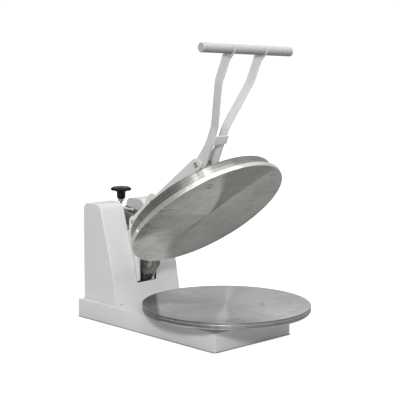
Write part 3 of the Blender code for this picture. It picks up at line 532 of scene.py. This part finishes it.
def refine(node, width):
    """Soften a CAD node's edges with modifiers; width 0 keeps them crisp."""
    ob = NODES[node]
    for polygon in ob.data.polygons:
        polygon.use_smooth = True
    weld = ob.modifiers.new("weld", "WELD")
    weld.merge_threshold = 2e-6
    if width > 0:
        bevel = ob.modifiers.new("soft_edge", "BEVEL")
        bevel.width = width
        bevel.segments = 2
        bevel.limit_method = "ANGLE"
        bevel.angle_limit = math.radians(28.0)
        bevel.use_clamp_overlap = True
        bevel.harden_normals = False
        normals = ob.modifiers.new("flat_faces", "WEIGHTED_NORMAL")
        normals.mode = "FACE_AREA"
        normals.weight = 100
        normals.keep_sharp = True
    else:
        split = ob.modifiers.new("crisp_edges", "EDGE_SPLIT")
        split.split_angle = math.radians(32)
        split.use_edge_sharp = False


def dress(mat, *nodes):
    """Give CAD nodes one material."""
    for node in nodes:
        materials = NODES[node].data.materials
        materials.clear()
        materials.append(mat)


def local_frame(node):
    """World-to-local matrix of a node, and the world X axis in its space."""
    back = NODES[node].matrix_world.inverted()
    return back, (back.to_3x3() @ Vector((1, 0, 0))).normalized()


# ------------------------------------------------------------------ CAD node materials
BAR_WHITE = (0.77, 0.77, 0.76)
BAR_ROUGH = 0.36

WHITE = powder("powder_white_sheet", (0.78, 0.78, 0.775))
WHITE_BAR = powder("powder_white_bar", BAR_WHITE, rough=BAR_ROUGH)
ZINC = steel("zinc_plated")
SHAFT = steel("ground_steel", (0.55, 0.55, 0.54), rough=0.24, stretch=(14, 1, 1))
SPRING = steel("spring_wire", (0.20, 0.20, 0.20), rough=0.34)
CAST = casting("grey_casting", (0.26, 0.262, 0.250), rough=0.46, metal=0.30)
LEVER = casting("dark_lever_steel", (0.215, 0.225, 0.205), rough=0.42, metal=0.40,
                grain_scale=700.0)
BLACK = plastic("black_phenolic", (0.0035, 0.0035, 0.0035), rough=0.27)
BLACK.node_tree.nodes["Principled BSDF"].inputs["Specular IOR Level"].default_value = 0.32
# grip tube: white powder painted grey as painted shade, with painted top light and painted shade
# below
TUBE_PAINTED_SHADE = powder("powder_tube_painted_shade", (0.36, 0.36, 0.345), rough=0.38, under=(0.62, 1.75))
RUBBER = plastic("foot_rubber", (0.018, 0.018, 0.018), rough=0.75, grain_scale=900.0, strength=0.3)
# near-white, mostly diffuse steel: painted highlight on the trunnion rod and the rim screws
STEEL_PAINTED_HIGHLIGHT = steel("steel_painted_highlight", (0.95, 0.95, 0.94), rough=0.34, spots=0.08, metal=0.30)
BRONZE = steel("dark_bronze_bush", (0.15, 0.125, 0.095), rough=0.40)
SCREW = steel("dark_screw", (0.22, 0.22, 0.21), rough=0.34)


def gooseneck():
    """Grey press arm, with painted shade round the hinge shaft and, low in y and above it, a
    painted highlight spot ringed by painted shade.
    """
    back, across = local_frame("press_arm")
    shaft = middle("hinge_shaft")
    spot = back @ Vector((0.0, shaft.y - 0.0385, shaft.z + 0.0485))
    # painted shade round the shaft; at the spot a painted shade ring round a painted highlight
    # point, axis, inner radius, outer radius, gain
    painted_light_rings = ((back @ shaft, across, 0.0205, 0.0235, 0.22),
            (spot, across, 0.0185, 0.0195, 0.62),
            (spot, across, 0.0160, 0.0172, 3.6))
    return casting("grey_gooseneck", (0.235, 0.235, 0.220), rough=0.46, metal=0.30, painted_light_rings=painted_light_rings)


def hook_arm(side, tone):
    """White handle arm, darker where it holds the grip; its tone is painted shade, lower on the
    left arm.
    """
    back, across = local_frame("handle_arm_" + side)
    near = (back @ middle("handle_grip"), across, 0.0215, 0.72)
    return powder("powder_white_hook_" + side, BAR_WHITE, rough=BAR_ROUGH, tone=tone, near=near)


dress(WHITE, "base_pan", "housing", *pair("frame_plate"))
dress(WHITE_BAR, "handle_cross_plate", *pair("arm_bar"))
dress(gooseneck(), "press_arm")
# painted shade: the left arm darker than the right, on one white powder
for side, tone in (("left", 0.89), ("right", 0.97)):
    dress(hook_arm(side, tone), "handle_arm_" + side)
dress(TUBE_PAINTED_SHADE, "handle_grip", *pair("grip_plug"))
dress(CAST, "platen_bracket", "platen_riser", "frame_floor_plate", "screw_bearing_block",
      *pair("pivot_spacer"))
dress(LEVER, *pair("lever_plate"))
dress(SPRING, *pair("counter_spring"))
dress(BRONZE, *pair("hinge_bush"), *pair("pivot_bush"))
dress(RUBBER, *pair("foot_front"), *pair("foot_rear"))
dress(SHAFT, "hinge_shaft", "frame_tie_rod", "toggle_ground_pin", "toggle_knee_pin")
# painted highlight on the trunnion rod
dress(STEEL_PAINTED_HIGHLIGHT, "trunnion_rod")
dress(ZINC, *pair("toggle_link"), *pair("housing_screw"), "platen_bolt_1", "platen_bolt_2",
      "platen_bolt_3", "platen_bolt_4", "bracket_bolt_front", "bracket_bolt_rear",
      "arm_rear_bolt", *pair("arm_rear_spacer"), "handle_pivot_bolt", "handle_pivot_nut",
      "lever_fulcrum_bolt", "lever_fulcrum_nut", "block_bolt", "knob_lock_nut",
      "adjusting_screw")
dress(BLACK, "adjusting_knob")

# ------------------------------------------------------------------ platens
PLATEN_GAP = 0.003          # closed gap between the two platens
PLATE_THICK = 0.0124
DISC_R = 0.215
DISC_TOP = 0.0424           # above the pressing face
TURNED_STEPS = 256
TURNED_AUTO = 25

UPPER = SWUNG @ Matrix.Translation((0, PLATEN_Y, LOWER_TOP + PLATEN_GAP))

# Painted reflections and highlights by sector: angle, half width, gain, radius where it starts,
# radius where it is full
ALL_RADII = (-0.1, -0.01)
LOWER_PAINTED_SECTORS = (
    (10, 80, 0.78, 0.02, 0.20), (-105, 40, 1.12, 0.06, 0.15),
    (-133, 26, 0.84, 0.17, 0.20), (180, 50, 1.34, 0.05, 0.14))
LOWER_RIM_PAINTED_SECTORS = ((-131, 10, 1.45, *ALL_RADII), (175, 40, 0.72, *ALL_RADII))
UPPER_PAINTED_SECTORS = (
    (168, 13, 0.74, 0.17, 0.22), (2, 66, 0.84, 0.04, 0.20),
    (40, 50, 0.88, 0.19, 0.226), (-140, 30, 0.86, 0.17, 0.22))
UPPER_RIM_PAINTED_SECTORS = ((180, 55, 1.13, *ALL_RADII),)
DISC_PAINTED_SECTORS = (
    (176, 50, 0.94, *ALL_RADII), (222, 7, 1.30, *ALL_RADII),
    (231, 3.0, 0.60, *ALL_RADII), (292, 52, 0.76, *ALL_RADII))

# Painted reflections in blades: centre angle, edges (from, to) at the inner radius, edges at the
# outer radius, inner and outer radius, edge softness, gain, radius where it starts, radius where
# it is full
LOWER_PAINTED_BLADES = (
    (-138, -142, -134, -142, -134, 0.0, 0.2, 2.5, 1.24, 0.0, 0.01),
    (-135, -150, -120, -150, -120, 0.0, 0.2, 9.0, 1.07, 0.0, 0.01),
    (42, 38, 46, 38, 46, 0.0, 0.2, 3.0, 1.16, 0.0, 0.01),
    (92, 60, 145, 60, 145, 0.0, 0.2, 2.5, 0.93, 0.0, 0.03))
UPPER_PAINTED_BLADES = (
    (-88, -101, -71, -115, -65, 0.03, 0.20, 3.0, 0.66, 0.0, 0.02),
    (-135, -169, -101, -169, -115, 0.03, 0.20, 3.5, 1.31, 0.0, 0.03),
    (180, 119, 191, 112, 191, 0.06, 0.20, 3.5, 1.06, 0.0, 0.03),
    (135, 123, 158, 90, 158, 0.10, 0.21, 5.0, 1.62, 0.10, 0.17),
    (100, 104, 120, 71, 88, 0.08, 0.21, 3.0, 0.94, 0.0, 0.02),
    (-84, -92, -74, -92, -74, 0.0, 0.2, 5.0, 0.80, 0.09, 0.03),
    (110, 102, 120, 102, 120, 0.0, 0.2, 5.0, 0.72, 0.10, 0.04))


def add_rim_finish(ob, mat):
    """Give the faces on a platen's outer edge their own finish."""
    ob.data.materials.append(mat)
    for polygon in ob.data.polygons:
        if math.hypot(polygon.center.x, polygon.center.y) > 0.997 * PLATEN_R:
            polygon.material_index = 1


def turned_object(name, profile, mat, body, world):
    return new_object(name, lathe(profile, TURNED_STEPS), mat, body, world,
                      auto=TURNED_AUTO)


def lower_platen():
    """Thick plate with a shallow groove round its rim."""
    top, bottom, r = LOWER_TOP, LOWER_BOTTOM, PLATEN_R
    groove_r = r - 0.0010
    profile = [(0, top)] + [(r * f, top) for f in (0.2, 0.4, 0.6, 0.8, 0.95)]
    # r, z, fillet
    profile += rounded([
        (r * 0.96, top), (r, top, 0.0011), (r, top - 0.0053, 0.0004),
        (groove_r, top - 0.0059, 0.0003), (groove_r, top - 0.0069, 0.0003),
        (r, top - 0.0074, 0.0004), (r, bottom + 0.0045, 0.0008),
        (r - 0.0027, bottom, 0.0008), (r * 0.9, bottom)])
    profile.append((0, bottom))
    # painted reflections: the fan, chord, sector and blade tints; the stain is a real stain
    face = turned_metal("turned_lower_face", (0.62, 0.625, 0.63), rough=0.40, aniso=0.15,
                        painted_fan=0.10, stain=(0.057, -0.078, 0.0095, 46.0, 3.0),
                        painted_chord=(140, 0.186, 0.004, 0.44), painted_sectors=LOWER_PAINTED_SECTORS,
                        painted_blades=LOWER_PAINTED_BLADES)
    # painted reflection and highlight on the rim: the fan and sector tints
    rim = turned_metal("turned_lower_rim", (0.30, 0.30, 0.285), rough=0.28, aniso=0.3,
                       contrast=0.9, painted_fan=0.14, painted_sectors=LOWER_RIM_PAINTED_SECTORS)
    ob = turned_object("lower_platen_turned", profile, face, "base",
                       Matrix.Translation((0, PLATEN_Y, 0)))
    add_rim_finish(ob, rim)
    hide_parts("lower_platen")


def pressing_plate():
    r = PLATEN_R
    profile = [(0, PLATE_THICK), (r * 0.9, PLATE_THICK)]
    profile += rounded([(r * 0.96, PLATE_THICK), (r, PLATE_THICK, 0.0011), (r, 0.0, 0.0012),
                        (r * 0.96, 0.0)], 4)
    profile += [(r * f, 0.0) for f in (0.9, 0.7, 0.5, 0.3, 0.1)] + [(0, 0.0)]
    # painted reflections and highlights: the sector and blade tints
    face = turned_metal("turned_pressing_face", (0.53, 0.53, 0.498), rough=0.42, aniso=0.12,
                        contrast=1.6, ring_shift=0.37, scored=0.86, painted_sectors=UPPER_PAINTED_SECTORS,
                        painted_blades=UPPER_PAINTED_BLADES)
    # painted highlight on the rim: the fan and sector tints
    rim = turned_metal("turned_pressing_rim", (0.75, 0.75, 0.74), rough=0.34, aniso=0.2,
                       contrast=0.7, painted_fan=0.08, painted_sectors=UPPER_RIM_PAINTED_SECTORS)
    ob = turned_object("pressing_plate_turned", profile, face, "arm", UPPER)
    add_rim_finish(ob, rim)
    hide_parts("upper_pressing_plate")


def rim_screws():
    """Two low domes on the pressing plate's rim, in near-white steel that paints a highlight."""
    # angle, radius, height, z above the pressing face
    rows = ((168.5, 0.0056, 0.0030, 0.0062), (-141.5, 0.0026, 0.0007, 0.0066))
    for i, (angle, r, h, z) in enumerate(rows):
        out = bearing(angle)
        a = math.radians(angle)
        profile = [(0, h), (r * 0.5, h * 0.9), (r * 0.85, h * 0.5), (r, -0.0004),
                   (r * 0.9, -0.0016), (0, -0.0016)]
        world = UPPER @ aimed((PLATEN_R * math.cos(a), PLATEN_R * math.sin(a), z), out)
        new_object("rim_screw_%d" % (i + 1), lathe(profile, 28), STEEL_PAINTED_HIGHLIGHT, "arm", world, auto=60)


def upper_disc():
    """Smaller disc on the back of the pressing plate."""
    profile = [(0, DISC_TOP), (DISC_R * 0.5, DISC_TOP)]
    profile += rounded([(DISC_R * 0.9, DISC_TOP), (DISC_R, DISC_TOP, 0.0022),
                        (DISC_R, 0.0128, 0.0006), (DISC_R * 0.9, 0.0127)], 4)
    profile.append((0, 0.0127))
    # painted highlight and painted reflections on the disc side: the fan and sector tints
    mat = turned_metal("turned_disc", (0.37, 0.367, 0.338), rough=0.30, aniso=0.3, contrast=1.3,
                       ring_shift=0.11, painted_fan=0.14, band=(230.0, 0.20), painted_sectors=DISC_PAINTED_SECTORS)
    ob = turned_object("upper_disc_turned", profile, mat, "arm", UPPER)
    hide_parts("upper_disc")


# ------------------------------------------------------------------ knob and screw
KNOB_LOBES = 7
KNOB_PHASE = math.radians(56.6)
LOBE_DEPTH = 0.14           # share of the radius cut away between lobes
INSERT_R, INSERT_BORE = 0.0086, 0.0046

THREAD_PITCH = 0.003
THREAD_R = 0.0043
THREAD_DEPTH = 0.00075
RINGS_PER_PITCH = 7
SCREW_STEPS = 28
# r, height above the screw's lower end: journal and collar, from the thread down
SCREW_FOOT = ((THREAD_R, 0.051), (0.006, 0.047), (0.006, 0.037), (0.009, 0.035),
              (0.009, 0.0218), (0.006, 0.0214), (0.006, 0.001), (0.0052, 0.0))


def lobed(angle, r, z):
    """Radius pulled in between the lobes, fading out towards the axis and the hub."""
    fade = max(0.0, min(1.0, (r - 0.017) / 0.011))
    fade *= max(0.0, min(1.0, (z - 0.0205) / 0.004))
    wave = 0.5 - 0.5 * math.cos(KNOB_LOBES * (angle + KNOB_PHASE))
    return r * (1 - LOBE_DEPTH * fade * wave ** 2.6)


def knob():
    """Lobed knob on a slim hub, with a metal ring under the hub."""
    centre = middle("adjusting_knob")
    bottom = low("adjusting_knob").z
    h = high("adjusting_knob").z - bottom
    # r, z, fillet
    profile = rounded([
        (0, h), (0.010, h - 0.0002), (0.020, h - 0.0014, 0.004), (0.0272, h - 0.0032, 0.003),
        (0.0309, h - 0.0062, 0.0025), (0.0308, 0.0262, 0.0016), (0.0285, 0.0244, 0.0016),
        (0.0150, 0.0226, 0.004), (0.0130, 0.0182, 0.003), (0.0128, 0.0060, 0.002),
        (0.0122, 0.0014, 0.0008), (0.0106, 0.0, 0.0004), (0.0, 0.0)], 4)
    ob = new_object("knob_moulded", lathe(profile, 140, lobed), BLACK, "knob",
                    Matrix.Translation((centre.x, centre.y, bottom)),
                    auto=50)
    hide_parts("adjusting_knob")
    insert = rounded([(INSERT_BORE, 0.0006), (INSERT_R, 0.0006, 0.0003),
                      (INSERT_R, -0.0006, 0.0003), (INSERT_BORE, -0.0006)], 2)
    new_object("knob_insert", lathe(insert, 40, closed=True), ZINC, "knob",
               Matrix.Translation((centre.x, centre.y, bottom - 0.0003)))


def cap_to(bm, ring, stations, tip_z):
    """Carry a ring on through (r, z) stations to a point on the axis."""
    for r, z in stations:
        following = add_ring(bm, [r] * SCREW_STEPS, z)
        bridge(bm, ring, following)
        ring = following
    tip = bm.verts.new((0, 0, tip_z))
    for i in range(SCREW_STEPS):
        bm.faces.new((ring[i], ring[(i + 1) % SCREW_STEPS], tip))


def screw():
    """Threaded rod: a real helix on the upper run, plain journal and collar below."""
    end_low, end_high = low("adjusting_screw").z, high("adjusting_screw").z
    centre = middle("adjusting_screw")
    top, bottom = end_high - 0.0045, end_low + 0.052
    bm = bmesh.new()
    rows = int((top - bottom) / THREAD_PITCH * RINGS_PER_PITCH)
    rings = []
    for i in range(rows + 1):
        z = bottom + (top - bottom) * i / rows
        fade = min(1.0, min(z - bottom, top - z) / THREAD_PITCH)
        radii = []
        for j in range(SCREW_STEPS):
            phase = (z / THREAD_PITCH - j / SCREW_STEPS) % 1.0
            cut = min(1.0, max(0.0, abs(phase - 0.5) * 2.0 * 1.5 - 0.25))
            radii.append(THREAD_R - THREAD_DEPTH * cut * fade)
        rings.append(add_ring(bm, radii, z))
    for lower, upper in zip(rings, rings[1:]):
        bridge(bm, lower, upper)
    cap_to(bm, rings[-1], [(THREAD_R, end_high - 0.0006), (THREAD_R - 0.0005, end_high)],
           end_high)
    cap_to(bm, rings[0], [(r, end_low + up) for r, up in SCREW_FOOT], end_low)
    ob = new_object("screw_threaded", bm, SCREW, "knob",
                    Matrix.Translation((centre.x, centre.y, 0)), auto=40)
    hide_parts("adjusting_screw")


# ------------------------------------------------------------------ bolts and nuts
# node, head radius, head height, shank radius
CROSS_BOLTS = (
    ("handle_pivot_bolt", 0.0076, 0.0054, 0.006), ("arm_rear_bolt", 0.0065, 0.0042, 0.005),
    ("lever_fulcrum_bolt", 0.0066, 0.0042, 0.005), ("block_bolt", 0.0062, 0.0036, 0.004),
    ("bracket_bolt_front", 0.0080, 0.0050, 0.005), ("bracket_bolt_rear", 0.0080, 0.0050, 0.005))
# node, width across flats, bore radius
CROSS_NUTS = (("handle_pivot_nut", 0.0178, 0.0061), ("lever_fulcrum_nut", 0.0157, 0.0051))
SHANK_CHAMFER = 0.0005
STUB = 0.0001               # shank length of screws modelled as heads only


def hexagon(flat, steps):
    """Radii of a hexagon whose flats lie at distance flat."""
    return [flat / math.cos((angle + math.pi / 6) % (math.pi / 3) - math.pi / 6)
            for angle in angles(steps)]


def hex_nut(name, across, h, body, world, bore):
    """Hexagon nut with its corners turned off."""
    steps = 48
    flat = across / 2
    corner = flat / math.cos(math.pi / 6)
    bm = bmesh.new()
    end, sides = [flat * 0.985] * steps, hexagon(flat, steps)
    rows = []
    # height, radii, rise of the corners
    for z, radii, rise in ((0.0, end, 0.0), (h * 0.08, sides, h * 0.07),
                           (h * 0.92, sides, -h * 0.07), (h, end, 0.0)):
        ring = add_ring(bm, radii, z)
        for vert, radius in zip(ring, radii):
            if radius > flat * 1.02:
                vert.co.z = z + rise * (radius - flat) / (corner - flat)
        rows.append(ring)
    bore_low = add_ring(bm, [bore] * steps, 0)
    bore_high = add_ring(bm, [bore] * steps, h)
    rows = [bore_low] + rows + [bore_high]
    for first, second in zip(rows, rows[1:] + rows[:1]):
        bridge(bm, first, second)
    return new_object(name, bm, ZINC, body, world, auto=28)


def socket_head(node, head_r, head_h, shank_r, length, body, world):
    """Button-head screw with a hexagon socket; +Z is the head's outer side."""
    steps = 36
    key = head_r * 0.42
    crown = key * 1.25
    sides = hexagon(key, steps)
    bm = bmesh.new()
    rows = [add_ring(bm, sides, head_h * 0.35), add_ring(bm, sides, head_h * 0.93)]
    # r, z from the socket's lip over the dome and down the shank
    profile = [(key * 1.22, head_h)]
    for t in (0.45, 0.7, 0.88, 0.97):
        profile.append((crown + (head_r - crown) * t,
                        head_h * (0.28 + 0.72 * math.sqrt(1 - t * t))))
    profile += [(head_r, head_h * 0.18), (head_r * 0.985, 0.0), (shank_r, 0.0),
                (shank_r, -length + 0.0006), (shank_r - SHANK_CHAMFER, -length)]
    rows += [add_ring(bm, [r] * steps, z) for r, z in profile]
    for first, second in zip(rows, rows[1:]):
        bridge(bm, first, second)
    bm.faces.new(rows[0])
    bm.faces.new(rows[-1][::-1])
    ob = new_object(node + "_head", bm, ZINC, body, world, auto=30)
    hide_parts(node)


def dome_bolt(node, r, h, shank_r, length, world):
    """Bolt with a plain domed head."""
    profile = [(0, h), (r * 0.35, h * 0.97), (r * 0.62, h * 0.86), (r * 0.84, h * 0.62),
               (r * 0.96, h * 0.34), (r, 0.0004), (r * 0.98, 0.0), (shank_r, 0.0),
               (shank_r, -length + 0.0006), (shank_r - SHANK_CHAMFER, -length), (0, -length)]
    ob = new_object(node + "_dome", lathe(profile, 40), ZINC, BODY[node], world, auto=40)
    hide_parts(node)


def bolts():
    for node, head_r, head_h, shank_r in CROSS_BOLTS:
        centre = middle(node)
        x = low(node).x + head_h
        length = high(node).x - x
        seat = (x, centre.y, centre.z)
        if node == "arm_rear_bolt":
            dome_bolt(node, head_r, head_h, shank_r, length, aimed(seat, (-1, 0, 0)))
        else:
            socket_head(node, head_r, head_h, shank_r, length, BODY[node],
                        aimed(seat, (-1, 0, 0), spin=0.3))
    for node, across, bore in CROSS_NUTS:
        start, end = low(node).x, high(node).x
        centre = middle(node)
        ob = hex_nut(node + "_hex", across, end - start, BODY[node],
                     aimed((start, centre.y, centre.z), (1, 0, 0), spin=0.4), bore)
        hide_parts(node)
    bottom, top = low("knob_lock_nut").z, high("knob_lock_nut").z
    centre = middle("knob_lock_nut")
    ob = hex_nut("knob_lock_nut_hex", 0.0154, top - bottom, "knob",
                 Matrix.Translation((centre.x, centre.y, bottom)), bore=0.0046)
    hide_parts("knob_lock_nut")
    up = Vector((0, math.sin(SWING), math.cos(SWING)))
    for i in range(1, 5):
        node = "platen_bolt_%d" % i
        socket_head(node, 0.0064, 0.0046, 0.003, STUB, "arm",
                    aimed(middle(node) - up * 0.0024, up, spin=0.2 * i))
    for node in pair("housing_screw"):
        bottom, top = low(node).z, high(node).z
        centre = middle(node)
        socket_head(node, 0.0037, top - bottom, 0.002, STUB, "base",
                    Matrix.Translation((centre.x, centre.y, bottom)))


lower_platen()
pressing_plate()
rim_screws()
upper_disc()
knob()
screw()
bolts()

# bevel width of the CAD nodes' edges
EDGE_WIDTHS = {
    0.0: ("base_pan", "handle_cross_plate", "handle_grip"),
    0.0003: ("trunnion_rod",),
    0.0004: pair("grip_plug"),
    0.0005: ("housing", "screw_bearing_block", *pair("arm_bar"), *pair("handle_arm")),
    0.0006: (*pair("frame_plate"), *pair("lever_plate"), *pair("toggle_link")),
    0.0008: ("press_arm", "platen_bracket", "platen_riser"),
}
for width, nodes in EDGE_WIDTHS.items():
    for node in nodes:
        refine(node, width)

# ------------------------------------------------------------------ stage, light, camera
FLOOR_GLOW = 0.95           # floor emission seen by the camera
WORLD = 0.52                # ambient strength
# name, place relative to the platen's y, target, size, power
LIGHTS = (
    ("key", (-2.25, -1.68, 1.36), (0, 0.1, 0.2), (0.34, 0.30), 37),
    ("top", (-1.12, -0.98, 2.45), (0, 0.1, 0.3), (0.55, 0.55), 9),
    ("front", (0.3, -2.2, 2.7), (0, 0.1, 0.3), (1.6, 1.2), 25))
CAMERA_AT = (-2.2082, PLATEN_Y - 2.1632, 0.7965)
CAMERA_YAW, CAMERA_PITCH, CAMERA_ROLL = (math.radians(a) for a in (43.66, 7.57, 0.16))


def stage():
    """Pale floor that glows for the camera, with a painted contact shadow close to what stands on
    it.
    """
    bpy.ops.mesh.primitive_plane_add(size=30.0, location=(0, 0, 0))
    floor = bpy.context.object
    floor.name = "studio_floor"
    mat = Shader("pale_floor")
    cloud = mat.noise(mat.coords(), scale=3.0)
    path = mat.add("ShaderNodeLightPath")
    occlusion = mat.add("ShaderNodeAmbientOcclusion", samples=16)
    occlusion.inputs["Distance"].default_value = 0.010
    # painted contact shadow: the glow fades where ambient occlusion is low
    painted_contact_shade = mat.math("POWER", occlusion.outputs["AO"], 4.0)
    glow = mat.times(path.outputs["Is Camera Ray"], FLOOR_GLOW)
    mat.drive({
        "Base Color": mat.mix(mat.remap(cloud, NOISE_SPAN), (0.50,) * 3, (0.52,) * 3),
        "Roughness": 0.9,
        "Emission Color": (1, 1, 1, 1),
        "Emission Strength": mat.times(painted_contact_shade, glow),
    })
    floor.data.materials.append(mat.material)


def world():
    """White to the camera; a soft gradient, brighter above and towards +X, to the press."""
    studio = bpy.data.worlds.new("studio")
    bpy.context.scene.world = studio
    studio.use_nodes = True
    nodes, link = studio.node_tree.nodes, studio.node_tree.links.new
    nodes.clear()
    output = nodes.new("ShaderNodeOutputWorld")
    switch = nodes.new("ShaderNodeMixShader")
    backdrop = nodes.new("ShaderNodeBackground")
    backdrop.inputs["Color"].default_value = (1, 1, 1, 1)
    backdrop.inputs["Strength"].default_value = 1.05
    ambient = nodes.new("ShaderNodeBackground")
    ambient.inputs["Strength"].default_value = WORLD
    direction = nodes.new("ShaderNodeTexCoord").outputs["Generated"]
    split = nodes.new("ShaderNodeSeparateXYZ")
    link(direction, split.inputs[0])
    ramp = nodes.new("ShaderNodeValToRGB")
    stops = ((0.0, (0.55, 0.55, 0.55, 1)), (0.9, (1.25, 1.25, 1.26, 1)))
    for element, (position, colour) in zip(ramp.color_ramp.elements, stops):
        element.position = position
        element.color = colour
    link(split.outputs["Z"], ramp.inputs["Fac"])
    sideways = nodes.new("ShaderNodeVectorMath")
    sideways.operation = "DOT_PRODUCT"
    sideways.inputs[1].default_value = (0.95, 0.30, 0.0)
    link(direction, sideways.inputs[0])
    gain = nodes.new("ShaderNodeMapRange")
    for i, bound in enumerate((-1.0, 1.0, WORLD * 0.62, WORLD * 1.75)):
        gain.inputs[i + 1].default_value = bound
    link(sideways.outputs["Value"], gain.inputs["Value"])
    link(gain.outputs["Result"], ambient.inputs["Strength"])
    link(ramp.outputs["Color"], ambient.inputs["Color"])
    path = nodes.new("ShaderNodeLightPath")
    link(path.outputs["Is Camera Ray"], switch.inputs["Fac"])
    link(ambient.outputs[0], switch.inputs[1])
    link(backdrop.outputs[0], switch.inputs[2])
    link(switch.outputs[0], output.inputs["Surface"])


def area(name, place, target, size, power):
    light = bpy.data.lights.new(name, "AREA")
    light.shape = "RECTANGLE"
    light.size, light.size_y = size
    light.energy = power
    ob = bpy.data.objects.new(name, light)
    bpy.context.scene.collection.objects.link(ob)
    ob.location = Vector(place) + Vector((0, PLATEN_Y, 0))
    aim = Vector(target) - Vector(place)
    ob.rotation_euler = aim.to_track_quat("-Z", "Y").to_euler()


def camera():
    """Long lens, looking towards +X +Y and slightly down."""
    view = bpy.data.cameras.new("view")
    view.sensor_width = 36.0
    view.lens = 104.83
    view.shift_x = 0.0294
    view.shift_y = -0.0109
    view.clip_end = 100
    ob = bpy.data.objects.new("view", view)
    bpy.context.scene.collection.objects.link(ob)
    forward = Vector((math.sin(CAMERA_YAW) * math.cos(CAMERA_PITCH),
                      math.cos(CAMERA_YAW) * math.cos(CAMERA_PITCH), -math.sin(CAMERA_PITCH)))
    right = Vector((math.cos(CAMERA_YAW), -math.sin(CAMERA_YAW), 0))
    turn = Matrix((right, right.cross(forward), -forward)).transposed().to_4x4()
    ob.matrix_world = (Matrix.Translation(CAMERA_AT) @ turn
                       @ Matrix.Rotation(CAMERA_ROLL, 4, "Z"))
    bpy.context.scene.camera = ob


stage()
world()
for light_row in LIGHTS:
    area(*light_row)
camera()
bpy.context.scene.view_settings.view_transform = "Standard"
bpy.context.scene.view_settings.look = "None"
